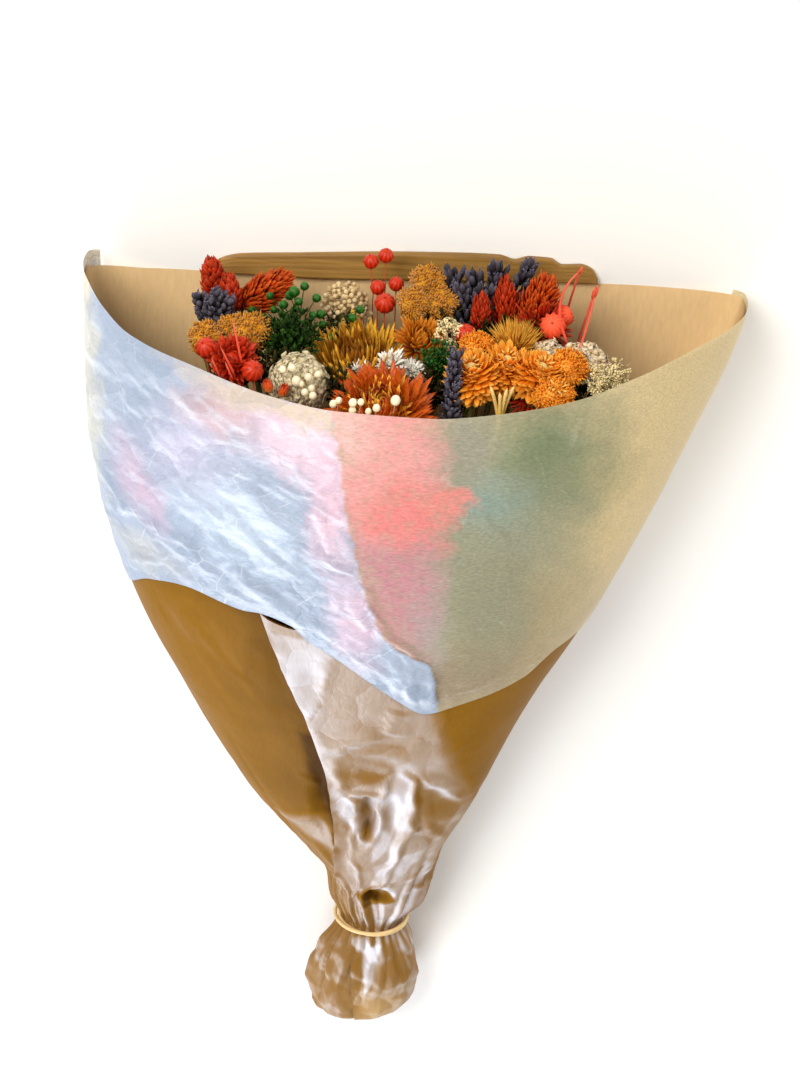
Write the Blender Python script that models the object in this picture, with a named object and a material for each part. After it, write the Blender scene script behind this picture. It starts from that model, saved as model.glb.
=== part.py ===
"""A mixed bouquet of dried flowers in its paper wrap, lying on its back.

The bouquet lies along Y: the tied tail is at the low end of Y and the open mouth at the high
end.  X runs across it, Z is up, and the floor is Z = 0.  Lengths are given in millimetres and
turned into metres where a mesh is made.  "Station" means the distance along the bouquet from
the closed end of the tail.

Pieces: a kraft paper wrap that is gathered at a neck and puffs out again into a tail pouch, a
translucent tissue sheet round the front, a folded hem at the back, a rubber band wound twice
round the neck, and one solid for each sprig, its stem and its head together.  Every stem runs
from the pouch through the neck to its own head.
"""
import math

import bpy
import numpy as np

# ---------------------------------------------------------------- driving dimensions, in mm
MM = 0.001
LENGTH_TO_MIDDLE = 198.5      # station that lies at Y = 0
PAPER = 0.8                   # wall of the kraft wrap
TISSUE = 0.6                  # wall of the tissue sheet
CLEARANCE = 0.35              # gap between pieces that touch
TISSUE_GAP = 0.6              # gap between the wrap and the tissue round it
NECK_STATION = 63.0           # where the band is tied
NECK_BORE = 9.6               # inside radius of the gathered paper at the neck
BORE_FLARE = 8.4              # how slowly the bore opens away from the neck
POUCH_FLOOR = 1.6             # paper at the closed end of the tail
STEM_START = 10.0             # where the cut ends of the stems lie in the pouch
MOUTH_STATION = 380.0         # about where the wrap ends
HEM_THICKNESS = 4.0           # folded layers of paper in the hem
BAND_RADIUS = 0.9             # half the thickness of the rubber band
BAND_SLACK = 0.6              # gap between the band and the paper at the neck's narrowest
WRAP_COLUMNS = 40

# The outside of the wrap, station by station: how far it reaches to the left, to the right,
# up and down from a centre line, and where that centre line is in X and in Z.
WRAP_SECTIONS = np.array([
    # station, left, right, up, down, centre x, centre z
    (0, 16, 16, 10, 9, -6, 18),
    (5, 21, 21, 15, 13, -5.5, 17),
    (16, 24, 25, 19, 16.5, -4, 17),
    (32, 25, 25.5, 21, 18.5, -2.5, 18),
    (48, 21, 22, 18, 15, -1, 20),
    (63, 14.5, 14.5, 14.5, 14, 0, 20),
    (78, 19, 24, 18, 16, 0, 21),
    (92, 21, 27.5, 23, 19, 0, 22),
    (113, 38, 32, 32, 22.5, 0, 22),
    (143, 63, 46.5, 44, 22.5, 0, 21),
    (189, 90, 62.5, 60, 21.5, 0, 20),
    (247, 118.5, 90, 78, 19.5, 0, 18),
    (291, 131, 108, 88, 17.5, 0, 16),
    (328, 135.5, 121, 93, 16.5, 0, 15),
    (378, 136, 137, 97, 15.5, 0, 14),
    (394, 136.5, 139, 98, 15.5, 0, 14),
], dtype=float)

# Edges of the papers across the front, as (x, station) from the left side to the right side.
KRAFT_FRONT_EDGE = np.array([
    (-139, 382), (-130, 376), (-120, 320), (-100, 290), (-60, 274), (0, 238), (30, 232),
    (60, 240), (64, 262), (67, 330), (75, 358), (92, 371), (115, 380), (139, 383)], dtype=float)
TISSUE_TOP_EDGE = np.array([
    (-139, 385), (-131, 384), (-123, 379), (-109, 372), (-80, 367), (-50, 361), (-25, 358.5),
    (10, 358.5), (36, 361), (66, 366), (90, 374), (113, 382), (130, 385), (139, 385)], dtype=float)
TISSUE_LOW_EDGE = np.array([
    (-130, 236), (-111, 250), (-97, 261), (-79, 266), (-51, 260), (-24, 247), (6, 224),
    (20, 217), (35, 221), (62, 230), (72, 241), (100, 247), (130, 252)], dtype=float)
# Along the floor: the wrap's own edge, and the far edge of the folded hem beyond it.
KRAFT_BACK_EDGE = np.array([
    (-139, 378), (-110, 376), (-50, 376), (0, 378), (80, 382), (139, 383)], dtype=float)
HEM_FAR_EDGE = np.array([
    (-85, 381), (-80, 383.5), (-74, 385), (-50, 387), (-4, 390.5), (35, 392), (42, 390.5),
    (48, 392.2), (57, 392), (62, 389.6), (70, 390.2), (75, 388.5), (78, 384)], dtype=float)
TISSUE_COLUMNS_BELOW = 2      # columns of the wrap that the tissue covers below each side

# Stations at which the stems are laid out: close together where they bend or where heads are.
STATIONS = np.concatenate([
    (STEM_START, 24.0, 40.0, 52.0), (NECK_STATION, 74.0, 88.0, 104.0, 122.0, 145.0, 170.0),
    np.arange(195.0, 300.0, 15.0), np.arange(300.0, 405.0, 3.0)])

# Each kind of sprig: the outline of its head as (place along the head, share of its radius),
# its number of sides, its stem radius, and its colour.
KINDS = {
    "canary_grass": (((0, .25), (.15, .75), (.4, 1), (.7, .85), (.92, .4)), 6, 0.8, (.45, .03, .01)),
    "lavender": (((0, .4), (.12, .9), (.5, 1), (.8, .8), (1, .35)), 6, 0.8, (.10, .10, .17)),
    "mustard_head": (((0, .3), (.15, .8), (.45, 1), (.75, .85), (1, .4)), 8, 0.9, (.62, .26, .03)),
    "orange_head": (((0, .3), (.15, .8), (.45, 1), (.75, .85), (1, .4)), 8, 0.9, (.85, .27, .02)),
    "flax_pod": (((0, .35), (.2, .8), (.5, 1), (.8, .8), (1, .3)), 6, 0.6, (.55, .03, .01)),
    "coral_pod": (((0, .35), (.2, .8), (.5, 1), (.8, .8), (1, .3)), 8, 0.6, (.80, .12, .06)),
    "green_flax": (((0, .12), (.3, .35), (.65, .8), (.85, 1), (1, .8)), 8, 0.8, (.02, .13, .02)),
    "dark_foliage": (((0, .2), (.3, .7), (.7, 1), (1, .6)), 6, 0.8, (.01, .05, .01)),
    "white_ball": (((0, .3), (.2, .8), (.5, 1), (.8, .8), (1, .4)), 10, 0.9, (.65, .58, .42)),
    "seed_spray": (((0, .15), (.4, .6), (.8, 1), (1, .8)), 8, 0.7, (.62, .48, .25)),
    "strawflower": (((0, .2), (.12, .55), (.4, .92), (.7, 1), (.9, .8), (1, .5)), 12, 1.1,
                    (.60, .20, .02)),
    "daisy": (((0, .2), (.5, .6), (.85, 1), (1, .8)), 8, 0.7, (.80, .76, .62)),
    "moss": (((0, .3), (.3, .8), (.7, 1), (1, .6)), 7, 0.7, (.02, .10, .02)),
    "statice": (((0, .25), (.3, .7), (.7, 1), (1, .6)), 7, 0.7, (.78, .70, .48)),
    "thistle": (((0, .25), (.25, .6), (.7, 1), (1, .9)), 8, 0.9, (.60, .30, .05)),
    "forked_twig": (((0, .25), (.5, .5), (1, 1)), 6, 0.6, (.85, .60, .20)),
    "bud_stem": (((0, .4), (.3, .9), (.7, 1), (1, .4)), 6, 0.6, (.80, .12, .06)),
    "broom": (((0, .1), (.25, .4), (.6, .8), (.85, 1), (1, .85)), 8, 0.8, (.80, .16, .13)),
}

# Where each head is: name, kind, x, station of the head's middle, z, radius, length, and how
# many millimetres it leans in x and in z for each millimetre along the bouquet.
SPRIGS = (
    ("canary_grass_red_1", "canary_grass", -82, 378, 27, 3.6, 24, -0.25, 0.0),
    ("canary_grass_red_2", "canary_grass", -74, 377, 36, 2.8, 22, -0.1, 0.0),
    ("canary_grass_orange", "canary_grass", -60, 380, 33, 4.0, 24, 0.65, 0.0),
    ("lavender_left", "lavender", -79, 374, 45, 6.8, 17, 0.0, 0.0),
    ("mustard_head_left_1", "mustard_head", -81, 367, 62, 6.0, 12, 0.0, 0.0),
    ("mustard_head_left_2", "mustard_head", -72, 368, 56, 4.5, 10, 0.0, 0.0),
    ("mustard_head_left_3", "mustard_head", -63, 369, 60, 6.5, 13, 0.0, 0.0),
    ("flax_pod_left_1", "flax_pod", -79, 368, 75, 4.0, 8, 0.0, 0.0),
    ("flax_pod_left_2", "flax_pod", -69, 365, 77, 4.0, 8, 0.0, 0.0),
    ("flax_pod_left_3", "flax_pod", -60, 363, 84, 4.0, 8, 0.0, 0.0),
    ("green_flax_spray", "green_flax", -46, 375, 38, 12.0, 28, 0.0, 0.0),
    ("dark_foliage_left", "dark_foliage", -49, 366, 60, 6.0, 16, 0.0, 0.0),
    ("white_ball_flower", "white_ball", -43, 359, 82, 10.0, 15, 0.0, 0.0),
    ("cream_seed_spray", "seed_spray", -27, 372, 29, 11.0, 18, 0.0, 0.0),
    ("flax_pod_back_1", "flax_pod", -18, 392, 24, 3.0, 6, 0.0, 0.0),
    ("flax_pod_back_2", "flax_pod", -12, 394, 21, 3.0, 6, 0.0, 0.0),
    ("flax_pod_back_3", "flax_pod", -15, 383, 30, 3.0, 6, 0.0, 0.0),
    ("flax_pod_back_4", "flax_pod", -7, 384, 27, 3.0, 6, 0.0, 0.0),
    ("flax_pod_back_5", "flax_pod", -11, 379, 38, 4.0, 8, 0.0, 0.0),
    ("mustard_head_back_1", "mustard_head", 4, 385, 24, 6.0, 10, 0.0, 0.0),
    ("mustard_head_back_2", "mustard_head", 2, 379, 38, 6.5, 12, 0.0, 0.0),
    ("mustard_head_back_3", "mustard_head", 13, 379, 34, 5.5, 14, 0.0, 0.0),
    ("strawflower_golden", "strawflower", -21, 368, 56, 18.0, 20, 0.0, 0.0),
    ("strawflower_amber", "strawflower", 3, 370, 54, 7.5, 13, 0.0, 0.0),
    ("daisy_1", "daisy", -12, 365, 68, 4.5, 8, 0.0, 0.0),
    ("daisy_2", "daisy", 0, 366, 70, 3.5, 8, 0.0, 0.0),
    ("moss_sprig", "moss", 8, 366, 69, 6.0, 14, 0.0, 0.0),
    ("strawflower_orange", "strawflower", -7, 357, 87, 21.0, 22, 0.0, 0.0),
    ("lavender_back_1", "lavender", 21, 379, 28, 4.0, 26, 0.0, 0.0),
    ("lavender_back_2", "lavender", 28, 378, 26, 4.0, 24, 0.0, 0.0),
    ("lavender_back_3", "lavender", 34, 381, 23, 4.0, 26, 0.0, 0.0),
    ("lavender_back_4", "lavender", 40, 383, 19, 3.8, 18, 0.1, 0.0),
    ("canary_grass_right_1", "canary_grass", 39, 379, 36, 4.5, 18, 0.0, 0.0),
    ("canary_grass_right_2", "canary_grass", 50, 379, 34, 5.5, 22, 0.2, 0.0),
    ("canary_grass_right_3", "canary_grass", 28, 376, 42, 3.5, 12, 0.0, 0.0),
    ("flax_pod_right", "flax_pod", 22, 374, 50, 3.7, 8, 0.0, 0.0),
    ("statice_centre", "statice", 15, 371, 54, 4.0, 12, 0.0, 0.0),
    ("thistle_golden", "thistle", 42, 372, 55, 9.0, 15, 0.0, 0.0),
    ("coral_pod_1", "coral_pod", 56, 377, 48, 4.2, 9, 0.0, 0.0),
    ("coral_pod_2", "coral_pod", 62, 379, 40, 3.8, 8, 0.0, 0.0),
    ("orange_head_1", "orange_head", 27, 369, 64, 5.5, 11, 0.0, 0.0),
    ("orange_head_2", "orange_head", 27, 363, 79, 7.0, 15, 0.0, 0.0),
    ("orange_head_3", "orange_head", 39, 365, 75, 6.5, 14, 0.0, 0.0),
    ("orange_head_4", "orange_head", 50, 365, 78, 6.0, 13, 0.0, 0.0),
    ("orange_head_5", "orange_head", 61, 367, 75, 6.0, 12, 0.0, 0.0),
    ("orange_head_6", "orange_head", 57, 361, 90, 6.0, 12, 0.0, 0.0),
    ("forked_twig", "forked_twig", 37, 357, 90, 4.5, 14, 0.0, 0.0),
    ("lavender_front", "lavender", 18, 362, 86, 3.0, 30, 0.0, 0.0),
    ("bud_stem_1", "bud_stem", 68, 394, 24, 1.8, 5, 0.3, 0.0),
    ("bud_stem_2", "bud_stem", 74, 388, 34, 1.8, 9, 0.3, 0.0),
    ("white_statice_1", "statice", 56, 369, 62, 5.5, 14, 0.0, 0.0),
    ("white_statice_2", "statice", 71, 369, 65, 7.0, 15, 0.0, 0.0),
    ("caspia_spray", "seed_spray", 79, 366, 76, 9.0, 20, 0.0, 0.0),
    ("coral_broom", "broom", -2, 300, 80, 10.0, 76, 0.0, 0.0),
    ("teal_broom", "broom", 52, 310, 62, 11.0, 66, 0.0, 0.0),
)


# ---------------------------------------------------------------- small tools
def smooth_between(points, columns, where):
    """Read table columns between rows along smooth curves that never overshoot a row.

    Each interval is a cubic from row to row; its end slopes are harmonic means of the slopes
    on both sides, and zero where the table turns.
    """
    x = points[:, 0]
    y = points[:, columns]
    where = np.clip(np.asarray(where, dtype=float), x[0], x[-1])
    step = np.diff(x)[:, None]
    slope = np.diff(y, axis=0) / step
    product = slope[1:] * slope[:-1]
    total = slope[1:] + slope[:-1]
    middle = np.where(product > 0, 2 * product / np.where(total == 0, 1, total), 0)
    tangent = np.vstack([slope[:1], middle, slope[-1:]])
    k = np.clip(np.searchsorted(x, where, side="right") - 1, 0, len(x) - 2)
    t = ((where - x[k]) / (x[k + 1] - x[k]))[..., None]
    h = step[k]
    return ((1 + 2 * t) * (1 - t) ** 2 * y[k] + t * (1 - t) ** 2 * h * tangent[k]
            + t * t * (3 - 2 * t) * y[k + 1] + t * t * (t - 1) * h * tangent[k + 1])


def wrap_section(angle, station, inset):
    """Points of the wrap's section, moved inwards by inset, at angles round from +X.

    The section is two half superellipses on one centre line, an arch above and a flatter one
    below.  Below, it is squarer towards the mouth, and it is cut flat on the floor.
    """
    left, right, up, down, centre_x, centre_z = np.moveaxis(
        smooth_between(WRAP_SECTIONS, slice(1, 7), station), -1, 0)
    c = np.cos(angle)
    s = np.sin(angle)
    half = np.maximum(np.where(c >= 0, right, left) - inset, 0.5)
    rise = np.maximum(np.where(s >= 0, up, down) - inset, 0.5)
    squareness = 2.1 + 1.1 * np.clip((station - 90) / 60, 0, 1) * (s < 0)
    x = centre_x + half * np.sign(c) * np.abs(c) ** (2 / squareness)
    z = centre_z + rise * np.sign(s) * np.abs(s) ** (2 / squareness)
    return x, np.maximum(z, np.where(np.asarray(inset) > 0, inset, 0.0))


def bore_radius(station):
    """Inside radius of the gathered paper: narrow at the neck, opening on both sides."""
    return NECK_BORE + ((np.asarray(station) - NECK_STATION) / BORE_FLARE) ** 2


def wall_thickness(station):
    """Paper wall at a station: one sheet where it is open, gathered pleats at the neck."""
    left, right, up, down = np.moveaxis(
        smooth_between(WRAP_SECTIONS, slice(1, 5), station), -1, 0)
    smallest = np.minimum(np.minimum(left, right), np.minimum(up, down))
    return np.maximum(PAPER, smallest - bore_radius(station))


def edge_station(edge, x):
    """Station of a paper's edge across the front, read at x."""
    return smooth_between(edge, slice(1, 2), x)[..., 0]


def in_metres(x, station, z):
    """Stack coordinates as points in metres, with the middle of the bouquet at Y = 0."""
    station = np.broadcast_to(station, np.shape(x))
    return np.stack([x, station - LENGTH_TO_MIDDLE, z], axis=-1) * MM


def grid_faces(rows, columns, closed, first=0, flip=False):
    """Quads between neighbouring points of a grid whose points are numbered row by row."""
    faces = []
    for row in range(rows - 1):
        for column in range(columns if closed else columns - 1):
            nearer = column
            farther = (column + 1) % columns
            quad = [row * columns + nearer, row * columns + farther,
                    (row + 1) * columns + farther, (row + 1) * columns + nearer]
            quad = [first + corner for corner in quad]
            faces.append(quad[::-1] if flip else quad)
    return faces


def add_object(name, points, faces, colour, roughness):
    """Make one closed mesh object with its own material, its faces pointing out."""
    mesh = bpy.data.meshes.new(name)
    mesh.from_pydata([tuple(point) for point in points], [], faces)
    mesh.validate()
    mesh.shade_smooth()
    mesh.set_sharp_from_angle(angle=math.radians(50))
    material = bpy.data.materials.new(name)
    material.use_nodes = True
    shader = material.node_tree.nodes["Principled BSDF"]
    shader.inputs["Base Color"].default_value = (*colour, 1.0)
    shader.inputs["Roughness"].default_value = roughness
    shader.inputs["Metallic"].default_value = 0.0
    mesh.materials.append(material)
    item = bpy.data.objects.new(name, mesh)
    bpy.context.scene.collection.objects.link(item)
    return item


def swept_solid(name, centres, radii, sides, colour, roughness):
    """A solid with round cross-sections square to the bouquet's length, closed at both ends."""
    turn = np.arange(sides) * 2 * math.pi / sides
    x = centres[:, 0, None] + radii[:, None] * np.cos(turn)
    z = centres[:, 2, None] + radii[:, None] * np.sin(turn)
    points = in_metres(x, centres[:, 1, None], z).reshape(-1, 3)
    rows = len(centres)
    faces = grid_faces(rows, sides, closed=True, flip=True)
    faces.append(list(range(sides)))
    faces.append([(rows - 1) * sides + corner for corner in range(sides)][::-1])
    return add_object(name, points, faces, colour, roughness)


# ---------------------------------------------------------------- the papers
def kraft_rim(angle):
    """Station of the wrap's rim: nearly straight along the floor, and cut away across the
    front, where only the tissue covers the flowers."""
    x = wrap_section(angle, MOUTH_STATION, 0.0)[0]
    front = edge_station(KRAFT_FRONT_EDGE, x)
    back = edge_station(KRAFT_BACK_EDGE, x)
    return np.where(np.sin(angle) > 1e-6, front, back)


def make_kraft_wrap():
    """The wrap as a shell: the outer skin, the inner skin, a rim, and the closed tail end."""
    angle = np.arange(WRAP_COLUMNS) * 2 * math.pi / WRAP_COLUMNS
    tail = np.array([0, 3, 8, 18, 32, 44, 54, NECK_STATION, 72, 84, 100, 122, 148.0])
    upper = np.linspace(0, 1, 9)[1:, None]
    rim = kraft_rim(angle)
    outer_station = np.vstack([np.repeat(tail[:, None], WRAP_COLUMNS, axis=1),
                               tail[-1] + (rim - tail[-1]) * upper])
    inner_station = np.maximum(outer_station, POUCH_FLOOR)
    inner_station[1] = np.maximum(inner_station[1], 2 * POUCH_FLOOR)
    outer_x, outer_z = wrap_section(angle, outer_station, 0.0)
    inner_x, inner_z = wrap_section(angle, inner_station, wall_thickness(inner_station))
    outer = in_metres(outer_x, outer_station, outer_z)
    inner = in_metres(inner_x, inner_station, inner_z)
    rows = len(outer_station)
    count = rows * WRAP_COLUMNS
    faces = grid_faces(rows, WRAP_COLUMNS, closed=True, flip=True)
    faces += grid_faces(rows, WRAP_COLUMNS, closed=True, first=count)
    last = (rows - 1) * WRAP_COLUMNS
    for column in range(WRAP_COLUMNS):
        after = (column + 1) % WRAP_COLUMNS
        faces.append([last + after, last + column, count + last + column, count + last + after])
    faces.append(list(range(WRAP_COLUMNS)))
    faces.append([count + column for column in range(WRAP_COLUMNS)][::-1])
    points = np.vstack([outer.reshape(-1, 3), inner.reshape(-1, 3)])
    add_object("kraft_wrap", points, faces, (.36, .17, .03), 0.45)


def make_tissue_sheet():
    """The tissue over the front: a curved sheet just outside the wrap, open below and behind."""
    half_turn = WRAP_COLUMNS // 2
    column_numbers = np.arange(-TISSUE_COLUMNS_BELOW, half_turn + TISSUE_COLUMNS_BELOW + 1)
    angle = column_numbers * 2 * math.pi / WRAP_COLUMNS
    columns = len(angle)
    share = np.linspace(0, 1, 9)[:, None]
    x = wrap_section(angle, MOUTH_STATION, 0.0)[0]
    top = edge_station(TISSUE_TOP_EDGE, x)
    x_low = wrap_section(angle, 245.0, 0.0)[0]
    bottom = edge_station(TISSUE_LOW_EDGE, x_low)
    station = bottom + (top - bottom) * share
    inner_x, inner_z = wrap_section(angle, station, -TISSUE_GAP)
    outer_x, outer_z = wrap_section(angle, station, -TISSUE_GAP - TISSUE)
    inner = in_metres(inner_x, station, inner_z)
    outer = in_metres(outer_x, station, outer_z)
    rows = len(share)
    count = rows * columns
    faces = grid_faces(rows, columns, closed=False, flip=True)
    faces += grid_faces(rows, columns, closed=False, first=count)
    border = ([column for column in range(columns)]
              + [row * columns + columns - 1 for row in range(1, rows)]
              + [(rows - 1) * columns + column
                 for column in range(columns - 2, -1, -1)]
              + [row * columns for row in range(rows - 2, 0, -1)])
    for here, after in zip(border, border[1:] + border[:1]):
        faces.append([here, after, count + after, count + here])
    points = np.vstack([outer.reshape(-1, 3), inner.reshape(-1, 3)])
    add_object("tissue_sheet", points, faces, (.66, .70, .74), 0.4)


def make_back_hem():
    """The folded hem beyond the back rim: a flat bar whose far edge is wavy on the right."""
    x = HEM_FAR_EDGE[:, 0]
    far = HEM_FAR_EDGE[:, 1]
    near = edge_station(KRAFT_BACK_EDGE, x) + CLEARANCE
    floor = np.zeros(len(x))
    ring = (
        in_metres(x, near, floor),
        in_metres(x, far, floor),
        in_metres(x, far, floor + HEM_THICKNESS * 0.8),
        in_metres(x, near, floor + HEM_THICKNESS),
    )
    corners = len(ring)
    points = np.stack(ring, axis=1).reshape(-1, 3)
    faces = grid_faces(len(x), corners, closed=True)
    faces.append(list(range(corners))[::-1])
    faces.append([(len(x) - 1) * corners + corner for corner in range(corners)])
    add_object("back_hem", points, faces, (.36, .18, .04), 0.5)


def make_rubber_band():
    """A band wound twice round the neck: one closed loop that crosses over itself once.

    Over two turns the loop moves once round a small circle beside its mean line, so the two
    windings lie a band's width apart all the way.
    """
    segments, sides, gap_between_windings = 72, 6, 0.3
    spacing = BAND_RADIUS + gap_between_windings / 2
    turn = np.arange(segments) * 4 * math.pi / segments
    side = np.arange(sides) * 2 * math.pi / sides
    across = spacing * np.sin(turn / 2)[:, None] + BAND_RADIUS * np.cos(side)
    along = spacing * np.cos(turn / 2)[:, None] + BAND_RADIUS * np.sin(side)
    around = turn[:, None]
    outside = BAND_SLACK + spacing + BAND_RADIUS + across
    neck = smooth_between(WRAP_SECTIONS, slice(1, 7), NECK_STATION)
    _, right, up, down, centre_x, centre_z = neck
    rise = np.where(np.sin(around) >= 0, up, down)
    x = centre_x + (right + outside) * np.cos(around)
    z = centre_z + (rise + outside) * np.sin(around)
    points = in_metres(x, NECK_STATION + along, z).reshape(-1, 3)
    faces = grid_faces(segments, sides, closed=True)
    last = (segments - 1) * sides
    for corner in range(sides):
        after = (corner + 1) % sides
        faces.append([last + corner, last + after, after, corner])
    add_object("rubber_band", points, faces, (.75, .60, .35), 0.5)


# ---------------------------------------------------------------- the sprigs
def head_span(sprig):
    """First and last station of a sprig's head."""
    middle, length = sprig[3], sprig[6]
    return middle - length / 2, middle + length / 2


def head_radius(sprig, station):
    """Radius of a sprig at a station: its stem's below the head, its head's outline in it."""
    outline, _, stem, _ = KINDS[sprig[1]]
    low, high = head_span(sprig)
    places = [place for place, _ in outline]
    shares = [share for _, share in outline]
    head = np.interp((station - low) / (high - low), places, shares) * sprig[5]
    return np.where(station < low, stem, np.maximum(head, stem))


def confine(x, z, station, radius):
    """Pull points back inside the wrap where they come nearer to its wall than their radius."""
    left, right, up, down, centre_x, centre_z = np.moveaxis(
        smooth_between(WRAP_SECTIONS, slice(1, 7), station), -1, 0)
    margin = wall_thickness(station)[:, None] + radius + CLEARANCE
    half = np.maximum(np.where(x >= centre_x[:, None], right[:, None], left[:, None]) - margin, .3)
    rise = np.maximum(np.where(z >= centre_z[:, None], up[:, None], down[:, None]) - margin, .3)
    across = (x - centre_x[:, None]) / half
    upward = (z - centre_z[:, None]) / rise
    reach = np.sqrt(across ** 2 + upward ** 2)
    shrink = np.where(reach > 1, 1 / np.maximum(reach, 1e-9), 1)
    x = np.where(reach > 1, centre_x[:, None] + (x - centre_x[:, None]) * shrink, x)
    z = np.where(reach > 1, centre_z[:, None] + (z - centre_z[:, None]) * shrink, z)
    return x, np.maximum(z, radius + PAPER + CLEARANCE)


def lay_out_sprigs():
    """Lay every sprig from the pouch through the neck to its head without touching another.

    All sprigs are sampled at the same stations.  Each starts on a straight line from a scaled
    down place in the neck to its head.  Then, again and again, samples that are too close
    push each other apart, heads moving as wholes, stems straighten themselves, and the stems
    in the neck draw together.  The last rounds only push.
    """
    count = len(SPRIGS)
    head_x = np.array([sprig[2] for sprig in SPRIGS], dtype=float)
    head_z = np.array([sprig[4] for sprig in SPRIGS], dtype=float)
    head_at = np.array([sprig[3] for sprig in SPRIGS], dtype=float)
    spans = np.array([head_span(sprig) for sprig in SPRIGS])
    lean = np.array([sprig[7:9] for sprig in SPRIGS], dtype=float)
    radius = np.stack([head_radius(sprig, STATIONS) for sprig in SPRIGS], axis=1)
    nearby = np.stack([np.maximum(head_radius(sprig, STATIONS - 1.5),
                                  head_radius(sprig, STATIONS + 1.5)) for sprig in SPRIGS], axis=1)
    radius = np.where(STATIONS[:, None] > 300, np.maximum(radius, nearby), radius)
    station = STATIONS[:, None]
    active = station <= spans[:, 1] + 3.0
    in_head = (station >= spans[:, 0] - 1.5) & active
    target_x = head_x + lean[:, 0] * (station - head_at)
    target_z = head_z + lean[:, 1] * (station - head_at)
    base_x = head_x + lean[:, 0] * (spans[:, 0] - head_at)
    base_z = head_z + lean[:, 1] * (spans[:, 0] - head_at)
    neck_x = base_x * 0.095
    neck_z = 20.0 + (base_z - 55.0) * 0.16
    share = np.clip((station - NECK_STATION) / (spans[:, 0] - NECK_STATION), 0, 1)
    x = np.where(in_head, target_x, neck_x + (base_x - neck_x) * share)
    z = np.where(in_head, target_z, neck_z + (base_z - neck_z) * share)
    gathered = (station <= 80) & active
    before = (STATIONS[1:-1] - STATIONS[:-2])[:, None]
    after = (STATIONS[2:] - STATIONS[1:-1])[:, None]
    need = radius[:, :, None] + radius[:, None, :] + CLEARANCE + 0.05
    pair = active[:, :, None] & active[:, None, :] & ~np.eye(count, dtype=bool)
    give = radius[:, None, :] / (radius[:, :, None] + radius[:, None, :])
    rounds, settling = 700, 320
    for turn in range(rounds):
        dx = x[:, :, None] - x[:, None, :]
        dz = z[:, :, None] - z[:, None, :]
        gap = np.hypot(dx, dz) + 1e-6
        push = np.where(pair & (gap < need), (need - gap) * give, 0.0) / gap
        move_x = (push * dx).sum(axis=2)
        move_z = (push * dz).sum(axis=2)
        weight = np.maximum((in_head & (push.sum(axis=2) > 0)).sum(axis=0), 1)
        whole_x = np.where(in_head, move_x, 0).sum(axis=0) / weight
        whole_z = np.where(in_head, move_z, 0).sum(axis=0) / weight
        x = x + np.where(in_head, whole_x, move_x) * 0.8
        z = z + np.where(in_head, whole_z, move_z) * 0.8
        if turn < rounds - settling:
            straight_x = (x[:-2] * after + x[2:] * before) / (before + after)
            straight_z = (z[:-2] * after + z[2:] * before) / (before + after)
            loose = (active & ~in_head)[1:-1]
            x[1:-1] = np.where(loose, x[1:-1] + 0.5 * (straight_x - x[1:-1]), x[1:-1])
            z[1:-1] = np.where(loose, z[1:-1] + 0.5 * (straight_z - z[1:-1]), z[1:-1])
            x = np.where(gathered, x * 0.98, x)
            z = np.where(gathered, 20.0 + (z - 20.0) * 0.98, z)
            home = 0.03 * in_head
            x = x + home * (target_x - x)
            z = z + home * (target_z - z)
        x, z = confine(x, z, STATIONS, radius)
    return x, z, spans


def thin_out(points, tolerance):
    """Keep the fewest points of a path that stay within tolerance of all the others."""
    keep = [0]
    while keep[-1] < len(points) - 1:
        start = keep[-1]
        best = start + 1
        for end in range(start + 2, len(points)):
            share = ((points[start:end + 1, 1] - points[start, 1])
                     / (points[end, 1] - points[start, 1]))[:, None]
            line = points[start] + (points[end] - points[start]) * share
            if np.abs(line - points[start:end + 1]).max() > tolerance:
                break
            best = end
        keep.append(best)
    return points[keep]


def make_sprigs():
    """One solid for each sprig: its stem along the laid-out path, widening into its head."""
    all_x, all_z, spans = lay_out_sprigs()
    for number, sprig in enumerate(SPRIGS):
        outline, sides, stem, colour = KINDS[sprig[1]]
        low, high = spans[number]
        below = STATIONS < low - 2.0
        path = np.stack([all_x[below, number], STATIONS[below], all_z[below, number]], axis=1)
        path = thin_out(path, 0.1)
        head_stations = low + (high - low) * np.array([place for place, _ in outline])
        head_x = np.interp(head_stations, STATIONS, all_x[:, number])
        head_z = np.interp(head_stations, STATIONS, all_z[:, number])
        head = np.stack([head_x, head_stations, head_z], axis=1)
        head_radii = np.array([share for _, share in outline]) * sprig[5]
        centres = np.vstack([path, head])
        radii = np.concatenate([np.full(len(path), stem), np.maximum(head_radii, stem)])
        swept_solid(sprig[0], centres, radii, sides, colour, 0.8)


def main():
    """Clear the scene and make every piece."""
    for item in list(bpy.data.objects):
        bpy.data.objects.remove(item, do_unlink=True)
    make_kraft_wrap()
    make_tissue_sheet()
    make_back_hem()
    make_rubber_band()
    make_sprigs()


main()
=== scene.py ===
# %% [markdown]
# # A bouquet of dried flowers in paper
#
# The bouquet lies on its back: its tied tail points to -Y and its open mouth to +Y. A fixed
# frame of plain solids says where everything is. Each cell below makes one kind of thing that
# is laid in the place of those solids: paper, a rubber band, stems, petals, pods and fluff.
#
# Nearly everything in a bouquet is a shape that runs along a path: a petal, a stem, a needle
# and a bud are all closed ovals carried from one end to the other. So one function makes them
# all, and the cells differ only in where the paths go.

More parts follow.
